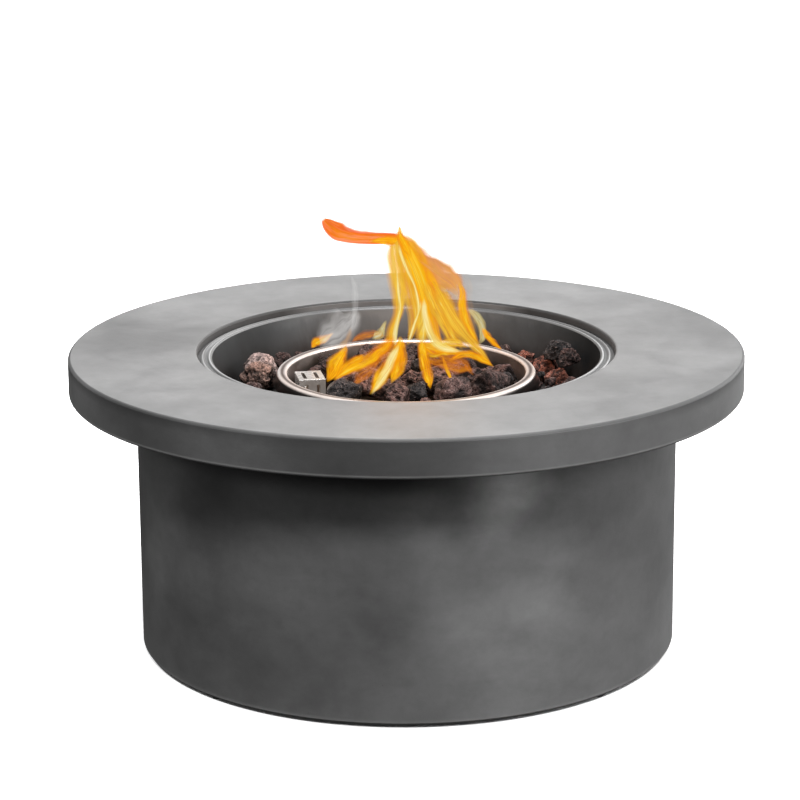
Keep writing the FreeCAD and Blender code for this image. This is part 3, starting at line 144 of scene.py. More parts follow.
def blend_colour(tree, factor, a, b, mode="MIX"):
    node = add(tree, "ShaderNodeMix", data_type="RGBA", blend_type=mode)
    for socket, value in ((node.inputs["Factor"], factor), (node.inputs[6], a), (node.inputs[7], b)):
        if isinstance(value, bpy.types.NodeSocket):
            tree.links.new(value, socket)
        elif isinstance(value, (int, float)):
            socket.default_value = value
        else:
            socket.default_value = (*value, 1)
    return node.outputs[2]


def tinted(tree, a, b):
    return blend_colour(tree, 1.0, a, b, "MULTIPLY")


def noise(tree, vector, scale, detail=3.0, roughness=0.5, distortion=0.0):
    inputs = {"Vector": vector, "Scale": scale, "Detail": detail, "Roughness": roughness,
              "Distortion": distortion}
    return add(tree, "ShaderNodeTexNoise", inputs).outputs["Fac"]


def place(tree):
    return add(tree, "ShaderNodeTexCoord").outputs["Object"]


def stretched(tree, vector, scale):
    return add(tree, "ShaderNodeMapping", {"Vector": vector, "Scale": scale}).outputs["Vector"]


def bump(tree, height, strength, distance, under=None):
    inputs = {"Height": height, "Strength": strength, "Distance": distance}
    if under is not None:
        inputs["Normal"] = under
    return add(tree, "ShaderNodeBump", inputs).outputs["Normal"]


def empty_tree(owner):
    owner.use_nodes = True
    owner.node_tree.nodes.clear()
    return owner.node_tree


def surface(name, build, **uniform):
    """A material: build(tree) gives linked inputs, and the rest are uniform values."""
    material = bpy.data.materials.new(name)
    tree = empty_tree(material)
    linked = build(tree)
    inputs = {key.replace("_", " "): value for key, value in uniform.items()}
    inputs.update(linked)
    shader = add(tree, "ShaderNodeBsdfPrincipled", inputs)
    add(tree, "ShaderNodeOutputMaterial", {"Surface": shader.outputs[0]})
    return material


def radius_and_height(tree, vector):
    parts = split(tree, vector)
    xx = times(tree, parts["X"], parts["X"])
    yy = times(tree, parts["Y"], parts["Y"])
    return math_node(tree, "SQRT", plus(tree, xx, yy)), parts["Z"]


def near(tree, value, target, width):
    """1 where a value is at a target, falling to 0 at a width from it."""
    away = math_node(tree, "ABSOLUTE", minus(tree, value, target))
    return minus(tree, 1.0, divided(tree, away, width), clamp=True)


# Materials

# Soft lighter and darker patches on the drum, as the photograph shows them: painted light and
# shade, with some of the cement's own clouds among them. Each is its angle from the front in
# degrees, height, reach and change of tone. Metres.
DRUM_LIGHT_AND_TONE_PATCHES = [
    (-5, 0.120, 0.065, -0.24), (9, 0.185, 0.060, 0.18), (21, 0.090, 0.120, 0.48), (21, 0.264, 0.074, 1.75),
    (44, 0.175, 0.085, -0.22), (-17, 0.145, 0.075, 0.12), (-40, 0.060, 0.140, -0.40),
    (-66, 0.150, 0.080, 0.46), (62, 0.120, 0.130, -0.26), (-42, 0.205, 0.090, -0.36),
]
# Painted light and shade under the table's overhang, placed without the drift that the others have
DRUM_OVERHANG_LIGHT_AND_SHADE = [(2, 0.222, 0.050, 0.38), (20, 0.240, 0.060, 0.30), (-42, 0.215, 0.095, -0.28)]
# Patches of painted light and shade on the table's edge, and of painted shade on its flat top
EDGE_LIGHT_PATCHES = [
    (85, 0.300, 0.170, 0.60), (40, 0.300, 0.150, -0.24), (-8, 0.300, 0.240, -0.60),
    (-48, 0.300, 0.150, -0.56), (-88, 0.300, 0.080, 0.30),
]
FLAT_SHADE_PATCHES = [(-95, TABLE_TOP, 0.170, -0.28)]
FLAT_SHADE_R = 0.300
EDGE_FROM_R = TABLE_R - 0.0015


def patched_light_and_tone(tree, vector, radius, patches):
    """A tone of 1, changed by soft round patches of painted light and shade that lie at a radius."""
    total = 1.0
    for degrees, height, reach, change in patches:
        angle = math.radians(degrees)
        middle = (radius * math.sin(angle), -radius * math.cos(angle), height)
        fall = eased(tree, vector_node(tree, "DISTANCE", vector, middle, "Value"), reach, 0.0)
        total = plus(tree, total, times(tree, fall, change))
    return total


def build_top_cement(tree):
    at = place(tree)
    edge_only = is_more(tree, radius_and_height(tree, at)[0], EDGE_FROM_R)
    # The edge's painted light and shade, and the flat top's painted shade
    edge_light = patched_light_and_tone(tree, at, TABLE_R, EDGE_LIGHT_PATCHES)
    flat_shade = patched_light_and_tone(tree, at, FLAT_SHADE_R, FLAT_SHADE_PATCHES)
    tone = blend_colour(tree, edge_only, flat_shade, edge_light)
    return build_cement(tree, at, [(0.30, 0.150), (0.5, 0.182), (0.70, 0.205)], tone)


DRIFT = 0.13
# The shadow under the overhang: between which heights it fades, and from where to the left
OVERHANG_SHADE_Z = (0.234, 0.258)
OVERHANG_SHADE_X = (0.075, -0.02)
OVERHANG_SHADE = 0.82


def build_drum_cement(tree):
    at = place(tree)
    shift = add(tree, "ShaderNodeTexNoise", {"Vector": at, "Scale": 9.0, "Detail": 4.0}).outputs["Color"]
    drift = vector_node(tree, "SUBTRACT", shift, (0.5, 0.5, 0.5))
    drifted = vector_node(tree, "ADD", at, vector_node(tree, "MULTIPLY", drift, (DRIFT, DRIFT, DRIFT)))
    # Painted light and shade: the placed patches, among them some of the cement's clouds, then the painted
    # shadow under the overhang
    tone = times(tree, patched_light_and_tone(tree, drifted, DRUM_R, DRUM_LIGHT_AND_TONE_PATCHES),
                 patched_light_and_tone(tree, at, DRUM_R, DRUM_OVERHANG_LIGHT_AND_SHADE))
    parts = split(tree, at)
    high = eased(tree, parts["Z"], *OVERHANG_SHADE_Z)
    leftward = eased(tree, parts["X"], *OVERHANG_SHADE_X)
    shade = times(tree, times(tree, high, leftward), OVERHANG_SHADE)
    tone = times(tree, tone, minus(tree, 1.0, shade))
    # The drum's cement is set darker than the top's: painted shade on the same cement
    return build_cement(tree, at, [(0.30, 0.124), (0.5, 0.168), (0.70, 0.196)], tone)


# Lower edges with a thin painted highlight, each as its radius, height and width
HIGHLIT_EDGES = [(TABLE_R, TABLE_UNDER + 0.0018, 0.0028), (DRUM_R - 0.0015, DRUM_FOOT + 0.0015, 0.005)]
EDGE_HIGHLIGHT = (0.34, 0.34, 0.338)


def edge_highlights(tree, at, patches, colour):
    """The colour with lighter, broken bands of painted highlight on the lower edges."""
    radius, height = radius_and_height(tree, at)
    total = 0.0
    for edge_radius, edge_height, width in HIGHLIT_EDGES:
        band = times(tree, near(tree, radius, edge_radius, width), near(tree, height, edge_height, width))
        total = math_node(tree, "MAXIMUM", total, band)
    broken_highlight = times(tree, total, plus(tree, 0.25, patches), clamp=True)
    return blend_colour(tree, times(tree, broken_highlight, 0.9), colour, EDGE_HIGHLIGHT)


# The table's darker upper edge: from where to where it darkens outward and upward, and its bevel
RIM_OUT = (TABLE_R - 0.0034, TABLE_R - 0.0022)
RIM_UP = (TABLE_TOP - 0.013, TABLE_TOP - 0.002)
RIM_BEVEL = TABLE_TOP - 0.0026
RIM_BEVEL_SHADE = 0.62


def rim_shade(tree, at, colour):
    """The colour with the table's upper edge darker, most at the left and right ends."""
    radius, up = radius_and_height(tree, at)
    rim = span(tree, radius, *RIM_OUT)
    band = span(tree, up, *RIM_UP)
    along = math_node(tree, "MULTIPLY_ADD", divided(tree, split(tree, at)["X"], TABLE_R), 0.5, 0.5)
    depth = ramp(tree, along, [(0.04, 0.50), (0.16, 0.52), (0.28, 0.30), (0.5, 0.22), (0.62, 0.10),
                               (0.80, 0.05), (0.92, 0.55), (0.98, 0.35)])
    bevel = is_more(tree, up, RIM_BEVEL)
    shade = math_node(tree, "MAXIMUM", times(tree, band, depth), times(tree, bevel, RIM_BEVEL_SHADE))
    return blend_colour(tree, times(tree, rim, shade), colour, (0.012, 0.012, 0.012))


# The mouth's wall and the lip over it
WALL_R = MOUTH_R + 0.0012
WALL_TOP = TABLE_TOP - 0.0009
LIP_R = (MOUTH_R + 0.0002, MOUTH_R + 0.0022)
LIP_TOP = TABLE_TOP - 0.0002


def mouth_shade(tree, at, colour):
    """The colour with the mouth's wall dark by how far it lies sideways, and a dark lip at the back."""
    radius, up = radius_and_height(tree, at)
    parts = split(tree, at)
    wall = times(tree, is_less(tree, radius, WALL_R), is_less(tree, up, WALL_TOP))
    sideways = divided(tree, math_node(tree, "ABSOLUTE", parts["X"]), MOUTH_R)
    shade = ramp(tree, sideways, [(0.35, 0.12), (0.47, 0.24), (0.62, 0.90), (0.85, 0.84), (1.0, 0.66)])
    colour = blend_colour(tree, times(tree, wall, shade), colour, (0.024, 0.023, 0.023))
    lip = times(tree, is_less(tree, radius, LIP_R[1]), is_less(tree, up, LIP_TOP))
    lip = times(tree, lip, is_more(tree, radius, LIP_R[0]))
    behind = times(tree, divided(tree, parts["Y"], MOUTH_R), 1.3, clamp=True)
    return blend_colour(tree, times(tree, lip, behind), colour, (0.03, 0.03, 0.03))


def build_cement(tree, at, cloud_stops, placed_light_and_tone):
    """Cast cement: clouds, mottle and small pores, with the placed patches of painted light and shade,
    a painted highlight on the lower edges and painted shade at the upper edge and the mouth.
    """
    clouds = noise(tree, at, 4.2, 4.0, 0.55, 0.4)
    patches = noise(tree, stretched(tree, at, (1.0, 1.0, 1.8)), 17.0, 5.0, 0.6, 0.3)
    mottle = noise(tree, at, 90.0, 4.0, 0.65)
    grain = noise(tree, at, 900.0, 2.0, 0.7)
    base = ramp(tree, clouds, cloud_stops)
    tone = ramp(tree, patches, [(0.25, 0.84), (0.5, 0.98), (0.78, 1.12)])
    fine = ramp(tree, mottle, [(0.2, 0.93), (0.5, 1.0), (0.8, 1.06)])
    colour = tinted(tree, base, tone)
    colour = tinted(tree, colour, fine)
    colour = tinted(tree, colour, placed_light_and_tone)
    pores = add(tree, "ShaderNodeTexVoronoi", {"Vector": at, "Scale": 75.0})
    pore_size = times(tree, noise(tree, at, 31.0), 0.13)
    pore = is_less(tree, pores.outputs["Distance"], minus(tree, pore_size, 0.035))
    colour = blend_colour(tree, times(tree, pore, 0.35), colour, (0.07, 0.07, 0.07))
    colour = edge_highlights(tree, at, patches, colour)
    colour = rim_shade(tree, at, colour)
    colour = mouth_shade(tree, at, colour)
    rough = ramp(tree, patches, [(0.25, 0.50), (0.75, 0.62)])
    height = plus(tree, times(tree, mottle, 0.6), times(tree, grain, 0.4))
    height = minus(tree, height, times(tree, pore, 1.5))
    normal = bump(tree, patches, 0.25, 0.0015, bump(tree, height, 0.35, 0.0004))
    return {"Base Color": colour, "Roughness": rough, "Normal": normal}


# The beads lie above a height and outside a radius, with a bright painted highlight along each crown
BEADS_UP = 0.3095
BEADS_OUT = 0.2045
BEAD_HIGHLIGHT_WIDTH = 0.0012


def build_bowl_steel(tree):
    at = place(tree)
    radius, height = radius_and_height(tree, at)
    low = divided(tree, minus(tree, height, BOWL_FLOOR), BOWL_DEPTH)
    smoke = noise(tree, stretched(tree, at, (1.0, 1.0, 0.6)), 22.0, 5.0, 0.6, 0.6)
    level = plus(tree, low, times(tree, minus(tree, smoke, 0.5), 0.9))
    colour = ramp(tree, level, [(0.0, (0.012, 0.008, 0.007)), (0.28, (0.034, 0.024, 0.021)),
                                (0.55, (0.088, 0.086, 0.086)), (0.86, (0.125, 0.130, 0.133)),
                                (1.0, (0.165, 0.170, 0.173))])
    across = divided(tree, split(tree, at)["X"], MOUTH_R)
    sideways = math_node(tree, "ABSOLUTE", across)
    # Painted shade: the wall darker towards its left and right sides
    side_shade = ramp(tree, plus(tree, times(tree, across, 0.5), 0.5),
                [(0.04, 0.07), (0.08, 0.11), (0.15, 0.16), (0.2, 0.34), (0.25, 0.60), (0.38, 0.88),
                 (0.62, 0.95), (0.8, 0.58), (0.86, 0.50), (0.9, 0.36), (0.95, 0.10)])
    colour = tinted(tree, colour, side_shade)
    beads = times(tree, is_more(tree, height, BEADS_UP), is_more(tree, radius, BEADS_OUT))
    # Painted light: the beads lighter towards the sides than at the back
    bead_light = ramp(tree, sideways, [(0.1, 0.08), (0.45, 0.10), (0.62, 0.17), (0.95, 0.24)])
    colour = blend_colour(tree, beads, colour, bead_light)
    # A painted highlight along each bead's crown, strongest at the sides
    for crown in BEAD_CROWNS:
        line = times(tree, near(tree, radius, crown, BEAD_HIGHLIGHT_WIDTH), beads)
        line = times(tree, line, math_node(tree, "POWER", sideways, 3.0), clamp=True)
        colour = blend_colour(tree, line, colour, (0.80, 0.80, 0.80))
    rough = ramp(tree, level, [(0.0, 0.75), (0.6, 0.55), (1.0, 0.5)])
    metal = ramp(tree, level, [(0.0, 0.2), (0.5, 0.6), (1.0, 0.72)])
    streaks = noise(tree, stretched(tree, at, (1.0, 1.0, 14.0)), 60.0, 3.0, 0.6)
    return {"Base Color": colour, "Roughness": rough, "Metallic": metal,
            "Normal": bump(tree, streaks, 0.12, 0.0004)}


def build_pan_steel(tree):
    at = place(tree)
    radius, height = radius_and_height(tree, at)
    smudge = noise(tree, at, 38.0, 4.0, 0.6)
    tint = noise(tree, at, 9.0, 2.0)
    bright = blend_colour(tree, ramp(tree, tint, [(0.35, 0.0), (0.65, 1.0)]),
                          (0.68, 0.64, 0.62), (0.70, 0.60, 0.54))
    colour = blend_colour(tree, ramp(tree, smudge, [(0.45, 0.0), (0.8, 0.7)]), bright, (0.42, 0.36, 0.33))
    inside = minus(tree, 1.0, divided(tree, minus(tree, height, PAN_FLOOR), 0.02), clamp=True)
    colour = blend_colour(tree, inside, colour, (0.06, 0.048, 0.042))
    worn_band = near(tree, radius, PAN_BAND_R, 0.0034)
    worn_band = times(tree, worn_band, plus(tree, 0.75, smudge), clamp=True)
    colour = blend_colour(tree, worn_band, colour, (0.13, 0.105, 0.095))
    # Painted shade: the outer slope of the rim darker than its crown
    skirt_shade = divided(tree, minus(tree, PAN_CROWN - 0.0014, height), 0.0015, clamp=True)
    skirt_shade = times(tree, skirt_shade, is_more(tree, radius, PAN_RIM_R - 0.008))
    colour = blend_colour(tree, times(tree, skirt_shade, 0.92), colour, (0.075, 0.068, 0.066))
    rough = ramp(tree, smudge, [(0.3, 0.26), (0.8, 0.45)])
    crown = times(tree, near(tree, height, PAN_CROWN + 0.001, 0.004), 2.0, clamp=True)
    metal = minus(tree, 1.0, times(tree, crown, 0.6))
    return {"Base Color": colour, "Roughness": rough, "Metallic": metal}


def build_cage_steel(tree):
    at = place(tree)
    smudge = noise(tree, at, 70.0)
    colour = ramp(tree, smudge, [(0.3, (0.64, 0.63, 0.62)), (0.7, (0.46, 0.44, 0.42))])
    brush = noise(tree, stretched(tree, at, (40.0, 4.0, 40.0)), 60.0, 2.0)
    return {"Base Color": colour, "Roughness": ramp(tree, smudge, [(0.3, 0.22), (0.8, 0.38)]),
            "Normal": bump(tree, brush, 0.06, 0.0002)}


def build_lava(tree):
    at = place(tree)
    tone = attribute(tree, "tone", "Color")
    pit = attribute(tree, "pit")
    ridge = attribute(tree, "ridge")
    mottle = noise(tree, at, 140.0, 4.0, 0.65, 0.5)
    dust = noise(tree, at, 55.0, 3.0, 0.6)
    mottled = ramp(tree, mottle, [(0.25, 0.5), (0.5, 1.0), (0.8, 1.6)])
    # Painted light and shade: lighter where the stone stands out and faces up, darker where it sinks
    ridge_light_and_shade = ramp(tree, ridge, [(0.15, 0.22), (0.5, 0.8), (0.9, 1.7)])
    colour = tinted(tree, tone, mottled)
    colour = tinted(tree, colour, ridge_light_and_shade)
    speck_highlights = noise(tree, at, 420.0, 2.0)
    ash = times(tree, ramp(tree, dust, [(0.52, 0.0), (0.85, 0.35)]), ridge)
    colour = blend_colour(tree, ash, colour, (0.34, 0.26, 0.24))
    # Painted highlights: small bright specks on the raised parts
    bright = times(tree, ramp(tree, speck_highlights, [(0.56, 0.0), (0.70, 0.42)]), ridge)
    colour = blend_colour(tree, bright, colour, (0.36, 0.26, 0.235))
    # Painted shade in the pits
    colour = blend_colour(tree, times(tree, pit, 0.85, clamp=True), colour, (0.008, 0.006, 0.006))
    cells = add(tree, "ShaderNodeTexVoronoi", {"Vector": at, "Scale": 560.0})
    small = minus(tree, 1.0, times(tree, cells.outputs["Distance"], 1.7), clamp=True)
    holes = math_node(tree, "POWER", small, 1.6)
    # Painted shade in the small holes
    colour = blend_colour(tree, times(tree, holes, 0.8), colour, (0.006, 0.005, 0.005))
    height = minus(tree, times(tree, mottle, 0.9), holes)
    return {"Base Color": colour, "Normal": bump(tree, height, 1.0, 0.0018)}


def metal_finish(name, colour, rough, grain=(1.0, 1.0, 1.0), grain_scale=300.0, spots=0.25):
    def build(tree):
        at = place(tree)
        dull = noise(tree, at, 60.0, 4.0, 0.6)
        lines = noise(tree, stretched(tree, at, grain), grain_scale, 2.0)
        dark = tuple(c * 0.55 for c in colour)
        mixed = blend_colour(tree, ramp(tree, dull, [(0.45, 0.0), (0.8, spots)]), colour, dark)
        return {"Base Color": mixed, "Roughness": ramp(tree, dull, [(0.3, rough), (0.8, rough + 0.16)]),
                "Normal": bump(tree, lines, 0.08, 0.0002)}
    return surface(name, build, Metallic=1.0)


def moulded_finish(name, colour, rough, grain_scale, depth, **uniform):
    def build(tree):
        at = place(tree)
        grain = noise(tree, at, grain_scale, 3.0, 0.6)
        wear = noise(tree, at, 45.0)
        light = tuple(min(1.0, c * 1.5 + 0.01) for c in colour)
        mixed = blend_colour(tree, ramp(tree, wear, [(0.45, 0.0), (0.9, 0.6)]), colour, light)
        return {"Base Color": mixed, "Roughness": ramp(tree, wear, [(0.3, rough), (0.8, rough + 0.12)]),
                "Normal": bump(tree, grain, 0.25, depth)}
    return surface(name, build, **uniform)


top_cement = surface("top_cement", build_top_cement, Specular_IOR_Level=0.35)
drum_cement = surface("drum_cement", build_drum_cement, Specular_IOR_Level=0.35)
bowl_steel = surface("bowl_steel", build_bowl_steel)
pan_steel = surface("pan_steel", build_pan_steel)
cage_steel = surface("cage_steel", build_cage_steel, Metallic=0.55)
lava = surface("lava_rock", build_lava, Roughness=0.88, Specular_IOR_Level=0.3)
burner_steel = metal_finish("burner_steel", (0.40, 0.35, 0.31), 0.34, spots=0.6)
zinc = metal_finish("zinc_plate", (0.52, 0.54, 0.56), 0.38)
brass = metal_finish("machined_brass", (0.74, 0.55, 0.26), 0.26)
copper = metal_finish("copper_pipe", (0.80, 0.44, 0.30), 0.30, spots=0.45)
chrome = metal_finish("chrome", (0.82, 0.83, 0.84), 0.1, spots=0.08)
panel_steel = metal_finish("brushed_panel", (0.60, 0.60, 0.61), 0.28, (4.0, 90.0, 90.0), 60.0, 0.12)
rubber = moulded_finish("rubber", (0.022, 0.022, 0.023), 0.72, 500.0, 0.0003)
knob_plastic = moulded_finish("knob_plastic", (0.018, 0.018, 0.019), 0.42, 900.0, 0.00012)
button_plastic = moulded_finish("button_plastic", (0.34, 0.018, 0.012), 0.26, 700.0, 0.00005)
housing_plastic = moulded_finish("housing_plastic", (0.03, 0.03, 0.032), 0.5, 800.0, 0.00012)
silicone = moulded_finish("silicone", (0.42, 0.05, 0.03), 0.5, 600.0, 0.0001)
ceramic = moulded_finish("ceramic", (0.74, 0.72, 0.67), 0.55, 400.0, 0.0001)
battery_case = metal_finish("battery_case", (0.30, 0.30, 0.33), 0.34)
mark_paint = moulded_finish("mark_paint", (0.02, 0.02, 0.02), 0.5, 600.0, 0.00004)

FINISHES = {
    "tabletop": top_cement, "base_drum": drum_cement,
    "rubber_feet": rubber, "inlet_washers": rubber,
    "top_brackets": zinc, "bracket_bolts": zinc, "shield_spacers": zinc, "shield_nuts": zinc,
    "plate_screws": zinc, "valve_screws": zinc, "igniter_nut": zinc, "heat_shield": zinc,
    "pan_bolts": burner_steel, "burner_ring": burner_steel, "mixer_tube": burner_steel,
    "burner_locknut": burner_steel, "probe_platform": burner_steel, "flame_sensor": burner_steel,
    "electrode_tip": burner_steel, "valve_stem": zinc, "push_washer": zinc,
    "threaded_inserts": brass, "gas_jet": brass, "gas_valve": brass, "gas_inlet_union": brass,
    "inlet_locknut": brass, "flare_nuts": brass, "sensor_nut": brass,
    "inlet_pipe": copper, "burner_pipe": copper, "sensor_lead": copper,
    "igniter_cage": cage_steel, "electrode_ceramic": ceramic, "spark_lead": silicone,
    "control_plate": panel_steel, "knob_bezel": chrome, "control_knob": knob_plastic,
    "igniter_housing": housing_plastic, "igniter_button": button_plastic, "igniter_battery": battery_case,
    "fire_bowl": bowl_steel, "burner_pan": pan_steel,
    "lava_rocks_pan": lava, "lava_rocks_bowl": lava, "lava_chips": lava,
}


def new_object(name, data):
    obj = bpy.data.objects.new(name, data)
    bpy.context.scene.collection.objects.link(obj)
    return obj


def dress(obj, material):
    obj.data.materials.clear()
    obj.data.materials.append(material)


def soften(obj, width):
    """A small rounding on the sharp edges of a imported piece."""
    weld = obj.modifiers.new("weld", "WELD")
    weld.merge_threshold = 0.00001
    rounding = obj.modifiers.new("rounding", "BEVEL")
    rounding.width = width
    rounding.segments = 2
    rounding.limit_method = "ANGLE"
    rounding.angle_limit = math.radians(28)
    even = obj.modifiers.new("even_shading", "WEIGHTED_NORMAL")
    even.weight = 50
    even.keep_sharp = False


for node_name, node_object in nodes.items():
    dress(node_object, FINISHES[node_name])

ROUNDED = {"tabletop": 0.0009, "base_drum": 0.0008, "control_knob": 0.0006, "knob_bezel": 0.0005,
           "igniter_button": 0.0006, "igniter_cage": 0.0003}
for node_name, width in ROUNDED.items():
    soften(nodes[node_name], width)


# Turned sheet pieces: the bowl and the pan

ARC_STEP = 0.16


def rounded_line(corners):
    """A line through (radius, height, rounding) corners, each rounded by an arc. Millimetres."""
    points = []
    for i, (r, z, rounding) in enumerate(corners):
        here = np.array([r, z])
        if rounding == 0:
            points.append(here)
            continue
        back = np.array(corners[i - 1][:2]) - here
        ahead = np.array(corners[i + 1][:2]) - here
        back_length, ahead_length = np.linalg.norm(back), np.linalg.norm(ahead)
        back, ahead = back / back_length, ahead / ahead_length
        half = math.acos(float(np.clip(back @ ahead, -1, 1))) / 2
        reach = min(rounding / math.tan(half), back_length * 0.49, ahead_length * 0.49)
        radius = reach * math.tan(half)
        middle = back + ahead
        centre = here + middle / np.linalg.norm(middle) * radius / math.sin(half)
        start, end = here + back * reach, here + ahead * reach
        first = math.atan2(*(start - centre)[::-1])
        last = math.atan2(*(end - centre)[::-1])
        turn = (last - first + math.pi) % (2 * math.pi) - math.pi
        steps = max(3, int(abs(turn) / ARC_STEP))
        for k in range(steps + 1):
            angle = first + turn * k / steps
            points.append(centre + radius * np.array([math.cos(angle), math.sin(angle)]))
    return np.array(points)


def thickened(line, thickness):
    """The closed outline of a sheet of a thickness about a line."""
    tangents = np.gradient(line, axis=0)
    tangents /= np.linalg.norm(tangents, axis=1)[:, None]
    normals = np.column_stack([-tangents[:, 1], tangents[:, 0]])
    return np.vstack([line + normals * thickness / 2, (line - normals * thickness / 2)[::-1]])


def turned_piece(name, outline, segments, material):
    """A closed outline in millimetres turned about the Z axis."""
    count = len(outline)
    angles = np.arange(segments) * 2 * math.pi / segments
    verts = [(r * math.cos(a) * MM, r * math.sin(a) * MM, z * MM) for a in angles for r, z in outline]
    faces = []
    for i in range(segments):
        j = (i + 1) % segments
        for k in range(count):
            m = (k + 1) % count
            faces.append((i * count + k, i * count + m, j * count + m, j * count + k))
    mesh = bpy.data.meshes.new(name)
    mesh.from_pydata(verts, [], faces)
    turn_faces_out(mesh)
    mesh.polygons.foreach_set("use_smooth", [True] * len(mesh.polygons))
    piece = new_object(name, mesh)
    dress(piece, material)
    return piece


def turn_faces_out(mesh):
    work = bmesh.new()
    work.from_mesh(mesh)
    bmesh.ops.recalc_face_normals(work, faces=work.faces)
    work.to_mesh(mesh)
    work.free()


BOWL_LINE = [
    (216.4, 308.9, 0), (215.3, 309.0, 0.8), (213.6, 311.9, 1.6), (211.4, 309.0, 0.9), (208.9, 308.8, 0.9),
    (207.4, 311.9, 1.6), (205.0, 310.2, 1.6), (190.2, 257.3, 7.0), (12.1, 257.25, 0),
]
PAN_LINE = [
    (12.1, 258.6, 0), (126.5, 258.6, 3.0), (126.5, 292.4, 2.2), (135.2, 292.4, 2.6), (140.5, 280.4, 0),
]

bowl_shell = turned_piece("bowl_shell", thickened(rounded_line(BOWL_LINE), 1.4), 192, bowl_steel)
pan_shell = turned_piece("pan_shell", thickened(rounded_line(PAN_LINE), 1.2), 160, pan_steel)
for piece, node_name, slot_name in ((bowl_shell, "fire_bowl", "bowl_steel"),
                                    (pan_shell, "burner_pan", "pan_steel")):
    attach(piece, "root")
    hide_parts(node_name)


# Lava rock: each packed stone becomes a rounded, pitted stone of the same size and place

CHARCOAL = (0.021, 0.018, 0.018)
BROWN = (0.042, 0.022, 0.019)
RED = (0.150, 0.048, 0.030)
PINK = (0.235, 0.170, 0.155)
ROSY = (0.072, 0.038, 0.032)
DUSTY = (0.190, 0.115, 0.092)


def stone_parts(node):
    """The loose parts of a node, each as its centre and its face planes."""
    work = bmesh.new()
    work.from_mesh(node.data)
    bmesh.ops.remove_doubles(work, verts=work.verts, dist=0.00001)
    work.faces.ensure_lookup_table()
    left = set(work.faces)
    parts = []
    while left:
        group, stack = [], [next(iter(left))]
        left.discard(stack[0])
        while stack:
            face = stack.pop()
            group.append(face)
            for edge in face.edges:
                for other in edge.link_faces:
                    if other in left:
                        left.discard(other)
                        stack.append(other)
        corners = {tuple(v.co) for f in group for v in f.verts}
        centre = np.mean(sorted(corners), axis=0)
        planes = [(np.array(f.normal), float(f.normal.dot(f.verts[0].co)))
                  for f in group if f.calc_area() > 1e-9]
        parts.append((centre, planes))
    work.free()
    return sorted(parts, key=lambda part: tuple(part[0]))


def unit_ball(level):
    work = bmesh.new()
    bmesh.ops.create_icosphere(work, subdivisions=level, radius=1.0)
    verts = np.array([v.co for v in work.verts])
    faces = np.array([[v.index for v in f.verts] for f in work.faces])
    work.free()
    return verts, faces


def lumps(points, dice, count, scale):
    """Smooth random waves, about -1 to 1, over points."""
    total = np.zeros(len(points))
    for _ in range(count):
        direction = dice.normal(size=3)
        direction /= np.linalg.norm(direction)
        total += np.sin(points @ direction * scale * dice.uniform(0.6, 1.6) + dice.uniform(0, 6.3))
    return total / math.sqrt(count)


# How square a stone's corners stay, and how much it swells to make up for their rounding
SQUARENESS = 16
SWELL = 1.07
# The waves of a stone's skin: how many, how fine and how high
SKIN_WAVES = ((7, 6.0, 0.032), (9, 15.0, 0.030), (12, 34.0, 0.018))
# How deep a pit is for its radius, and at most for the stone's size
PIT_DEPTH = 0.75
DEEPEST_PIT = 0.22


def weathered(centre, planes, ball, dice, pits, pit_sizes):
    """A stone's points, how deep each lies in a pit, and how far it stands out and faces up; the last two
    set the stone's painted shade and light.
    """
    normals = np.array([n for n, _ in planes])
    depths = np.array([d - n @ centre for n, d in planes])
    reach = np.maximum(ball @ normals.T, 1e-6) / depths
    radius = (reach ** SQUARENESS).sum(axis=1) ** (-1 / SQUARENESS) * SWELL
    points = ball * radius[:, None]
    size = float(radius.mean())
    rough = sum(lumps(ball, dice, count, scale) * high for count, scale, high in SKIN_WAVES)
    points = points * (1 + np.minimum(rough, 0.03))[:, None]
    # How far each point stands out and faces up, for the stone's painted light and shade and its ash
    ridge = np.clip(0.5 + rough / 0.11 + 0.2 * ball[:, 2], 0, 1)
    depth = np.zeros(len(points))
    for _ in range(pits):
        middle = points[dice.integers(len(points))]
        pit_radius = dice.uniform(*pit_sizes)
        away = np.linalg.norm(points - middle, axis=1) / pit_radius
        depth = np.maximum(depth, np.where(away < 1, (1 - away ** 2) * pit_radius * PIT_DEPTH, 0))
    depth = np.minimum(depth, size * DEEPEST_PIT)
    points -= ball * depth[:, None]
    return points + centre, depth / (pit_sizes[1] * PIT_DEPTH), ridge


# Stones whose colour the photograph shows, by where they lie in x and y
SEEN_STONES = [
    (-0.156, 0.059, PINK), (-0.158, 0.022, DUSTY), (-0.138, 0.106, CHARCOAL), (-0.117, 0.132, BROWN),
    (0.129, 0.116, RED), (0.152, 0.083, RED), (0.163, 0.040, RED), (0.163, 0.073, CHARCOAL),
    (0.174, 0.042, BROWN), (0.108, 0.140, BROWN), (-0.094, 0.052, BROWN), (-0.078, 0.074, CHARCOAL),
    (-0.040, 0.092, BROWN), (0.101, 0.022, BROWN), (-0.066, -0.073, CHARCOAL), (-0.050, -0.021, ROSY),
    (-0.009, -0.088, ROSY), (0.021, -0.097, ROSY), (0.048, -0.076, BROWN), (0.087, -0.050, BROWN),
    (0.039, -0.014, ROSY), (0.006, 0.045, BROWN), (0.058, 0.045, BROWN),
]
SEEN_WITHIN = 0.006


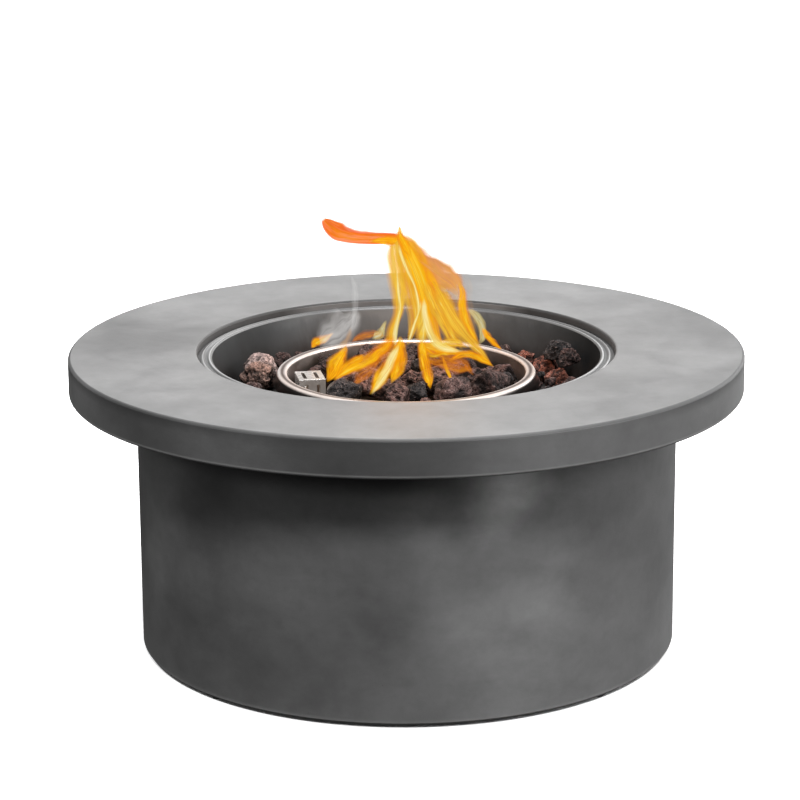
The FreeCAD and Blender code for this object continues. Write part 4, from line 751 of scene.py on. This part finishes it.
def stone_tone(centre, dice, where):
    """The colour of a stone: the photographed one, or one of its heap's usual colours."""
    usual = {"bowl": (CHARCOAL, BROWN, BROWN, RED), "pan": (BROWN, BROWN, CHARCOAL, ROSY),
             "chips": (CHARCOAL, CHARCOAL, BROWN)}[where]
    base = usual[int(dice.integers(len(usual)))]
    for x, y, seen in SEEN_STONES:
        if where != "chips" and math.hypot(centre[0] - x, centre[1] - y) < SEEN_WITHIN:
            base = seen
    return np.array(base) * dice.uniform(0.85, 1.2)


def stone_heap(name, node_name, where, level, pits, pit_sizes):
    """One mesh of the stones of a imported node, in its place."""
    dice = np.random.default_rng(SEED)
    ball, faces = unit_ball(level)
    all_points, all_faces, tones, pitted, ridges = [], [], [], [], []
    for centre, planes in stone_parts(nodes[node_name]):
        points, depth, ridge = weathered(centre, planes, ball, dice, pits, pit_sizes)
        all_faces.append(faces + len(ball) * len(all_points))
        all_points.append(points)
        tone = stone_tone(centre, dice, where)
        tones.append(np.tile([*tone, 1.0], (len(points), 1)))
        pitted.append(depth)
        ridges.append(ridge)
    mesh = bpy.data.meshes.new(name)
    mesh.from_pydata(np.vstack(all_points).tolist(), [], np.vstack(all_faces).tolist())
    colour = mesh.attributes.new("tone", "FLOAT_COLOR", "POINT")
    colour.data.foreach_set("color", np.vstack(tones).ravel().astype(np.float32))
    for field, values in (("pit", pitted), ("ridge", ridges)):
        layer = mesh.attributes.new(field, "FLOAT", "POINT")
        layer.data.foreach_set("value", np.concatenate(values).astype(np.float32))
    mesh.polygons.foreach_set("use_smooth", [True] * len(mesh.polygons))
    heap = new_object(name, mesh)
    dress(heap, lava)
    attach(heap, "root")
    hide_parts(node_name)


stone_heap("rocks_in_pan", "lava_rocks_pan", "pan", 5, 150, (0.0009, 0.0030))
stone_heap("rocks_in_bowl", "lava_rocks_bowl", "bowl", 5, 150, (0.0009, 0.0030))
stone_heap("chips_in_bowl", "lava_chips", "chips", 3, 18, (0.0007, 0.0016))


# Marks on the control plate: a tapered arc from low to high round the knob, and three ticks

def mark_plate(name, outlines, y0, y1):
    """Flat raised marks from outlines in x and z, standing on the plate."""
    work = bmesh.new()
    for outline in outlines:
        back = [work.verts.new((x, y0, z)) for x, z in outline]
        front = [work.verts.new((x, y1, z)) for x, z in outline]
        work.faces.new(back)
        work.faces.new(front[::-1])
        for i in range(len(outline)):
            j = (i + 1) % len(outline)
            work.faces.new((back[i], back[j], front[j], front[i]))
    bmesh.ops.recalc_face_normals(work, faces=work.faces)
    mesh = bpy.data.meshes.new(name)
    work.to_mesh(mesh)
    work.free()
    marks = new_object(name, mesh)
    dress(marks, mark_paint)
    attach(marks, "root")


def dial_point(radius, degrees):
    """A point of the dial seen from behind the table, clockwise from the top."""
    angle = math.radians(degrees)
    return KNOB_AXIS[0] - radius * math.sin(angle), KNOB_AXIS[1] + radius * math.cos(angle)


ARC_STEPS = 24
ARC_START = 20
ARC_TURN = 140
ARC_INSIDE_R = 0.0295
ARC_LOW_R = 0.0298
ARC_GROWTH = 0.0032
TICK_R = (0.0345, 0.0385)
TICK_SPREAD = 1.6
MARK_HEIGHT = 0.0003
arc_angles = [ARC_START + ARC_TURN * i / ARC_STEPS for i in range(ARC_STEPS + 1)]
arc_inside = [dial_point(ARC_INSIDE_R, a) for a in arc_angles]
arc_outside = [dial_point(ARC_LOW_R + ARC_GROWTH * (a - ARC_START) / ARC_TURN, a) for a in arc_angles]
marks = [arc_inside + arc_outside[::-1]]
for degrees in (0, 90, 180):
    before, after = degrees - TICK_SPREAD, degrees + TICK_SPREAD
    marks.append([dial_point(TICK_R[0], before), dial_point(TICK_R[0], after),
                  dial_point(TICK_R[1], after), dial_point(TICK_R[1], before)])
mark_plate("dial_marks", marks, PANEL_FACE_Y, PANEL_FACE_Y + MARK_HEIGHT)


# Flames: thin glowing sheets over the burner. They are no part of the object.

FLAME_COLOURS = {
    "yellow": [(0.0, (0.80, 0.26, 0.012)), (0.3, (0.81, 0.36, 0.02)), (0.62, (0.86, 0.47, 0.035)),
               (0.88, (0.90, 0.58, 0.06)), (1.0, (0.91, 0.69, 0.20))],
    "orange": [(0.0, (0.83, 0.17, 0.006)), (0.35, (0.93, 0.32, 0.006)), (0.75, (0.98, 0.50, 0.01)),
               (1.0, (0.96, 0.64, 0.06))],
    "core": [(0.0, (0.90, 0.54, 0.06)), (0.35, (0.93, 0.74, 0.20)), (1.0, (0.97, 0.90, 0.48))],
    "tip": [(0.0, (0.80, 0.11, 0.05)), (0.4, (0.92, 0.17, 0.02)), (1.0, (0.95, 0.31, 0.006))],
    "haze": [(0.0, (0.72, 0.28, 0.14)), (0.5, (0.77, 0.34, 0.10)), (1.0, (0.82, 0.42, 0.06))],
    "veil": [(0.0, (0.62, 0.33, 0.18)), (0.5, (0.76, 0.38, 0.13)), (1.0, (0.82, 0.47, 0.12))],
    "ember": [(0.0, (0.42, 0.09, 0.02)), (0.5, (0.68, 0.19, 0.015)), (1.0, (0.82, 0.28, 0.01))],
    "pale": [(0.0, (0.88, 0.46, 0.08)), (0.5, (0.80, 0.66, 0.26)), (1.0, (0.80, 0.76, 0.50))],
    "wisp": [(0.0, (0.62, 0.61, 0.60)), (1.0, (0.82, 0.81, 0.79))],
    "smoke": [(0.0, (0.60, 0.58, 0.57)), (1.0, (0.80, 0.78, 0.76))],
}
# How opaque and how streaky each kind is, and how far in from its sides it fades, as a share of
# its half width
FLAME_LOOKS = {
    "yellow": (0.97, 0.8, 0.72), "orange": (0.98, 0.6, 0.64), "core": (0.88, 0.4, 0.75),
    "tip": (1.0, 0.1, 0.34), "haze": (1.0, 0.25, 0.5), "veil": (0.36, 0.8, 0.8),
    "ember": (0.7, 0.8, 0.8), "pale": (0.72, 0.7, 0.6), "wisp": (0.3, 0.8, 0.9), "smoke": (0.55, 0.8, 0.9),
}
# How far in from its ends a flame fades, as a share of its length
FLAME_END_FADE = {"tip": 0.05, "orange": 0.12}
USUAL_END_FADE = 0.16
# How ragged the sides of a flame are
TIP_RAGGED = 0.03
USUAL_RAGGED = 0.13

# Depth, kind, and the spine from root to tip as x, height and width. Millimetres.
FLAMES = [
    # Behind the column
    (12, "haze", [(57, 368, 3), (50, 383, 20), (39, 393, 27), (27, 402, 29), (13, 413, 27), (2, 424, 18),
        (-6, 441, 1)]),
    (7, "orange", [(46, 345, 2), (38, 362, 8), (29, 377, 14), (21, 390, 21), (12, 406, 27), (2, 426, 20),
        (-6, 442, 1)]),
    (8, "orange", [(78, 317, 2), (68, 331, 9), (61, 347, 11), (60, 361, 10), (60, 374, 7), (55, 387, 3)]),
    (16, "veil", [(76, 321, 3), (66, 343, 14), (60, 361, 20), (55, 377, 26), (43, 390, 26), (28, 403, 16),
        (13, 416, 4)]),
    (-4, "ember", [(59, 332, 3), (51, 345, 12), (45, 358, 15), (43, 370, 13), (39, 380, 6)]),
    # The column
    (4, "yellow", [(-23, 311, 6), (-16, 322, 13), (-15, 333, 12), (-10, 347, 10), (-7, 358, 12),
        (-8, 372, 16), (-9, 388, 20), (-11, 404, 23), (-12, 421, 23), (-11, 433, 18), (-7, 444, 3)]),
    (0, "yellow", [(1, 319, 2), (5, 331, 6), (9, 345, 12), (9, 362, 18), (5, 379, 22), (2, 396, 24),
        (-2, 415, 22), (-5, 430, 16), (-6, 442, 2)]),
    (-2, "yellow", [(19, 313, 8), (17, 330, 16), (18, 349, 20), (17, 369, 24), (13, 388, 28), (7, 408, 30),
        (0, 425, 22), (-5, 440, 4)]),
    (-5, "orange", [(40, 310, 4), (30, 334, 12), (24, 362, 18), (15, 390, 20), (5, 414, 16), (-4, 434, 8),
        (-7, 444, 2)]),
    (-9, "core", [(-8, 316, 2), (-12, 330, 5), (-9, 348, 5), (-6, 364, 3), (-8, 384, 2), (-9, 404, 1)]),
    (-9, "core", [(-7, 433, 1), (-5, 420, 3), (1, 403, 3), (9, 386, 3), (13, 366, 4), (12, 350, 1)]),
    (-9, "core", [(1, 322, 1), (5, 333, 3), (9, 345, 3), (14, 360, 2), (16, 370, 1)]),
    (-12, "orange", [(6, 416, 3), (-1, 430, 9), (-5, 439, 8), (-6, 446, 5), (-6, 451, 1)]),
    # The tongue that the draught pulls to the left
    (2, "tip", [(3, 433, 3), (-10, 434, 12), (-22, 435, 13), (-37, 435, 13), (-51, 436, 14), (-62, 439, 17),
        (-72, 443, 19), (-81, 450, 13), (-87, 457, 1)]),
    (0, "orange", [(7, 420, 3), (-1, 427, 10), (-12, 432, 11), (-25, 433, 7), (-39, 432, 2)]),
    # The sweep to the right
    (-10, "yellow", [(91, 299, 1), (79, 314, 8), (65, 329, 14), (52, 347, 18), (43, 364, 18), (36, 379, 14),
        (28, 392, 4)]),
    (-8, "yellow", [(60, 315, 2), (49, 331, 12), (39, 348, 18), (31, 364, 17), (24, 379, 12),
        (19, 392, 4)]),
    (-9, "orange", [(60, 312, 2), (44, 316, 11), (29, 318, 15), (15, 323, 3)]),
    (-14, "core", [(63, 316, 1), (48, 318, 6), (36, 322, 9), (26, 335, 10), (21, 350, 9), (19, 365, 6),
        (19, 374, 1)]),
    (-12, "yellow", [(66, 319, 1), (54, 325, 9), (40, 324, 12), (26, 322, 9), (16, 324, 2)]),
    (-22, "orange", [(92, 301, 1), (81, 309, 7), (69, 315, 9), (56, 314, 7), (43, 307, 1)]),
    # In front, over the pan's stones
    (-75, "orange", [(-38, 286, 1), (-28, 302, 14), (-18, 317, 17), (-10, 331, 12), (-6, 344, 2)]),
    (-84, "core", [(-36, 288, 1), (-28, 301, 7), (-20, 315, 9), (-13, 330, 8), (-7, 342, 2)]),
    (-73, "orange", [(-16, 297, 1), (-10, 311, 12), (-7, 324, 15), (-6, 336, 12), (-6, 348, 2)]),
    (-45, "orange", [(-75, 295, 1), (-59, 305, 9), (-42, 314, 15), (-29, 323, 18), (-19, 331, 14),
        (-13, 343, 3)]),
    (-32, "orange", [(-83, 288, 1), (-77, 300, 14), (-70, 312, 16), (-65, 321, 8), (-62, 328, 1)]),
    (-31, "veil", [(-72, 310, 4), (-66, 322, 12), (-61, 334, 8), (-57, 347, 2)]),
    (-40, "orange", [(-76, 292, 1), (-65, 303, 10), (-52, 314, 11), (-43, 320, 1)]),
    (-55, "orange", [(25, 286, 1), (23, 299, 10), (20, 313, 13), (17, 327, 10), (16, 341, 2)]),
    (-40, "orange", [(50, 283, 1), (46, 295, 3), (41, 307, 4), (38, 318, 1)]),
    (-20, "ember", [(71, 291, 1), (63, 302, 10), (52, 308, 14), (40, 311, 10), (31, 313, 1)]),
    (-42, "ember", [(71, 303, 2), (52, 307, 14), (35, 311, 14), (19, 315, 3)]),
    (-60, "ember", [(-56, 292, 2), (-46, 302, 12), (-35, 311, 10), (-27, 319, 2)]),
    # At the back, left and right of the pan
    (83, "orange", [(-103, 296, 1), (-98, 302, 9), (-88, 307, 8), (-78, 313, 1)]),
    (84, "smoke", [(-93, 296, 8), (-82, 308, 30), (-70, 318, 36), (-58, 328, 24), (-54, 340, 4)]),
    (70, "ember", [(-60, 305, 1), (-49, 312, 8), (-37, 315, 9), (-22, 312, 1)]),
    (66, "pale", [(-37, 310, 2), (-29, 315, 9), (-25, 322, 6), (-21, 331, 1)]),
    (84, "pale", [(65, 337, 1), (71, 335, 6), (78, 328, 8), (82, 317, 8), (83, 307, 7), (78, 298, 1)]),
    (82, "orange", [(104, 293, 1), (95, 301, 6), (88, 309, 7), (82, 318, 2)]),
    (60, "wisp", [(-61, 318, 3), (-56, 333, 4), (-54, 351, 7), (-55, 368, 7), (-58, 382, 2)]),
]
# The kinds that also get a sheet across them where they stand up, to show from the side
CROSSED = ("yellow", "orange", "haze")


def flame_material(kind):
    """Glow with streaks along the sheet, that fades to clear at its sides and ends."""
    material = bpy.data.materials.new("flame_" + kind)
    tree = empty_tree(material)
    opacity, streaks, side_fade = FLAME_LOOKS[kind]
    uv = split(tree, add(tree, "ShaderNodeTexCoord").outputs["UV"])
    seed = attribute(tree, "seed")
    along = times(tree, uv["X"], 2.0)
    broad_at = add(tree, "ShaderNodeCombineXYZ", {
        "X": along, "Y": times(tree, uv["Y"], 2.0), "Z": seed}).outputs[0]
    thread_at = add(tree, "ShaderNodeCombineXYZ", {
        "X": along, "Y": times(tree, uv["Y"], 5.0), "Z": seed}).outputs[0]
    broad = noise(tree, broad_at, 1.2, 2.0, 0.45, 0.8)
    threads = noise(tree, thread_at, 1.3, 2.0, 0.5, 1.0)
    across = math_node(tree, "ABSOLUTE", minus(tree, times(tree, uv["Y"], 2.0), 1.0))
    inner = minus(tree, 1.0, across)
    swing = plus(tree, times(tree, minus(tree, broad, 0.5), 1.3),
                 times(tree, minus(tree, threads, 0.5), 1.7 * streaks))
    heat = plus(tree, plus(tree, times(tree, inner, 0.45), 0.22), swing, clamp=True)
    colour = ramp(tree, heat, FLAME_COLOURS[kind])
    edge = plus(tree, inner, times(tree, minus(tree, broad, 0.5), 0.6))
    soft = eased(tree, edge, 0.0, side_fade)
    gaps = times(tree, minus(tree, threads, 0.35), 1.7 * streaks)
    thin = plus(tree, 1.0 - 0.36 * streaks, gaps, clamp=True)
    alpha = times(tree, times(tree, soft, attribute(tree, "fade")),
                  times(tree, thin, opacity), clamp=True)
    flicker = noise(tree, broad_at, 2.4, 3.0, 0.6, 0.5)
    strength = ramp(tree, flicker, [(0.3, 0.90), (0.6, 1.04)])
    glow = add(tree, "ShaderNodeEmission", {"Color": colour, "Strength": strength})
    clear = add(tree, "ShaderNodeBsdfTransparent")
    mix = add(tree, "ShaderNodeMixShader", {0: alpha, 1: clear.outputs[0], 2: glow.outputs[0]})
    add(tree, "ShaderNodeOutputMaterial", {"Surface": mix.outputs[0]})
    return material


def smooth_path(points, count):
    """A smooth line through points, by Catmull-Rom."""
    points = np.array(points, float)
    padded = np.vstack([2 * points[0] - points[1], points, 2 * points[-1] - points[-2]])
    result = []
    for t in np.linspace(0, len(points) - 1 - 1e-6, count):
        i = int(t)
        f = t - i
        a, b, c, d = padded[i:i + 4]
        result.append(0.5 * (2 * b + (c - a) * f + (2 * a - 5 * b + 4 * c - d) * f * f
                             + (3 * b - a - 3 * c + d) * f ** 3))
    return np.array(result)


ALONG = 56
ACROSS = 12
HALF_WIDTH = 0.66
LEAST_WIDTH = 0.6
BULGE = 0.22
# How much wider a crossing sheet is than the one that it crosses
CROSSING_SPREAD = 1.4
flame_dice = np.random.default_rng(SEED + 3)


def wavy():
    """A smooth random line about 0, for the ragged edge of a flame."""
    t = np.linspace(0, 1, ALONG)
    total = np.zeros(ALONG)
    for waves in (1.5, 3.0, 5.5):
        total += np.sin(2 * math.pi * (waves * t + flame_dice.random())) / waves
    return total


def flame_sheet(depth, spine, crossing, end_fade, ragged):
    """One sheet along a spine: its points, and for each its place on the sheet and its fade."""
    path = smooth_path(spine, ALONG)
    line = path[:, :2]
    width = np.maximum(path[:, 2], LEAST_WIDTH)
    tangent = np.gradient(line, axis=0)
    tangent /= np.linalg.norm(tangent, axis=1)[:, None]
    side = np.column_stack([tangent[:, 1], -tangent[:, 0]])
    near_edge = -HALF_WIDTH * width * (1 + ragged * wavy())
    far_edge = HALF_WIDTH * width * (1 + ragged * wavy())
    points, uvs, fades = [], [], []
    for i in range(ALONG):
        u = i / (ALONG - 1)
        fade = min(1.0, u / end_fade) * min(1.0, (1 - u) / end_fade)
        for j in range(ACROSS):
            v = j / (ACROSS - 1)
            offset = near_edge[i] + (far_edge[i] - near_edge[i]) * v
            bulge = -BULGE * width[i] * (1 - (2 * v - 1) ** 2)
            x, z = line[i] if crossing else line[i] + side[i] * offset
            y = depth + (offset * CROSSING_SPREAD if crossing else bulge)
            points.append((x * MM, y * MM, z * MM))
            uvs.append((u, v))
            fades.append(fade)
    return points, uvs, fades


def flames():
    """All the flames as one stage mesh, with a material for each kind."""
    kinds = list(FLAME_COLOURS)
    points, uvs, fades, seeds, faces, kind_of_face = [], [], [], [], [], []
    for depth, kind, spine in FLAMES:
        end_fade = FLAME_END_FADE.get(kind, USUAL_END_FADE)
        ragged = TIP_RAGGED if kind == "tip" else USUAL_RAGGED
        stands = abs(spine[-1][1] - spine[0][1]) > abs(spine[-1][0] - spine[0][0])
        for crossing in (False, True)[:2 if stands and kind in CROSSED else 1]:
            first = len(points)
            more_points, more_uvs, more_fades = flame_sheet(depth, spine, crossing, end_fade, ragged)
            points += more_points
            uvs += more_uvs
            fades += more_fades
            seeds += [float(flame_dice.uniform(0, 40))] * len(more_points)
            for i in range(ALONG - 1):
                for j in range(ACROSS - 1):
                    corner = first + i * ACROSS + j
                    faces.append((corner, corner + 1, corner + ACROSS + 1, corner + ACROSS))
                    kind_of_face.append(kinds.index(kind))
    mesh = bpy.data.meshes.new("burning_gas")
    mesh.from_pydata(points, [], faces)
    layer = mesh.uv_layers.new(name="UVMap")
    for loop in mesh.loops:
        layer.data[loop.index].uv = uvs[loop.vertex_index]
    for name, values in (("fade", fades), ("seed", seeds)):
        mesh.attributes.new(name, "FLOAT", "POINT").data.foreach_set("value", values)
    gas = new_object("burning_gas", mesh)
    for kind in kinds:
        mesh.materials.append(flame_material(kind))
    mesh.polygons.foreach_set("material_index", kind_of_face)
    gas.visible_shadow = False


flames()


# Floor, light and camera

LIT_FROM_R = DRUM_R - 0.004


def build_floor(tree):
    """A pale floor, lit to white outside the drum's foot."""
    at = place(tree)
    grain = noise(tree, at, 40.0)
    round_drum = is_more(tree, radius_and_height(tree, at)[0], LIT_FROM_R)
    return {"Base Color": ramp(tree, grain, [(0.3, 0.76), (0.7, 0.80)]),
            "Emission Strength": times(tree, round_drum, 0.7)}


FLOOR_REACH = 30.0
floor_mesh = bpy.data.meshes.new("floor")
floor_corners = [(x * FLOOR_REACH, y * FLOOR_REACH, 0) for x, y in ((-1, -1), (1, -1), (1, 1), (-1, 1))]
floor_mesh.from_pydata(floor_corners, [], [(0, 1, 2, 3)])
floor = new_object("floor", floor_mesh)
dress(floor, surface("floor_pale", build_floor, Roughness=0.9, Specular_IOR_Level=0.1,
                     Emission_Color=(1, 1, 1, 1)))
floor.visible_diffuse = False
floor.visible_glossy = False

world = bpy.data.worlds.new("studio")
bpy.context.scene.world = world
tree = empty_tree(world)
up = split(tree, add(tree, "ShaderNodeTexCoord").outputs["Generated"])["Z"]
half_up = plus(tree, times(tree, up, 0.5), 0.5)
sky = ramp(tree, half_up, [(0.0, 0.05), (0.48, 0.07), (0.6, 0.12), (0.8, 0.33), (1.0, 0.38)])
seen = add(tree, "ShaderNodeLightPath").outputs["Is Camera Ray"]
mixed = blend_colour(tree, seen, sky, (1.0, 1.0, 1.0))
background = add(tree, "ShaderNodeBackground", {"Color": mixed, "Strength": 1.0})
add(tree, "ShaderNodeOutputWorld", {"Surface": background.outputs[0]})


def sun(name, toward, strength, angle):
    light = bpy.data.lights.new(name, "SUN")
    light.energy = strength
    light.angle = math.radians(angle)
    new_object(name, light).rotation_euler = Vector(toward).to_track_quat("-Z", "Y").to_euler()


sun("overhead", (-0.05, 0.04, -1.0), 4.9, 34)
sun("right_side", (-0.99, 0.10, -0.27), 1.6, 40)
sun("left_side", (0.95, 0.30, -0.35), 0.34, 50)
sun("front_high", (0.0, 0.66, -0.75), 1.5, 14)
sun("right_back", (-0.72, -0.68, -0.30), 1.2, 40)

glow_light = bpy.data.lights.new("fire_glow", "POINT")
glow_light.energy = 0.22
glow_light.color = (1.0, 0.42, 0.12)
glow_light.shadow_soft_size = 0.05
new_object("fire_glow", glow_light).location = (0.005, -0.01, 0.355)

LENS = 131.55
CAMERA_AT = (0.0, -2.988, 1.074)
PITCH = math.radians(15.244)
YAW = math.radians(-0.131)
ROLL = math.radians(-0.377)

camera_data = bpy.data.cameras.new("camera")
camera_data.lens = LENS
camera_data.sensor_width = 36.0
camera = new_object("camera", camera_data)
forward = Vector((math.sin(YAW) * math.cos(PITCH), math.cos(YAW) * math.cos(PITCH), -math.sin(PITCH)))
level = Vector((math.cos(YAW), -math.sin(YAW), 0.0))
above = level.cross(forward)
across = level * math.cos(ROLL) + above * math.sin(ROLL)
above = above * math.cos(ROLL) - level * math.sin(ROLL)
turned = Matrix((across, above, -forward)).transposed().to_4x4()
camera.matrix_world = Matrix.Translation(CAMERA_AT) @ turned
bpy.context.scene.camera = camera
bpy.context.scene.view_settings.view_transform = "Standard"
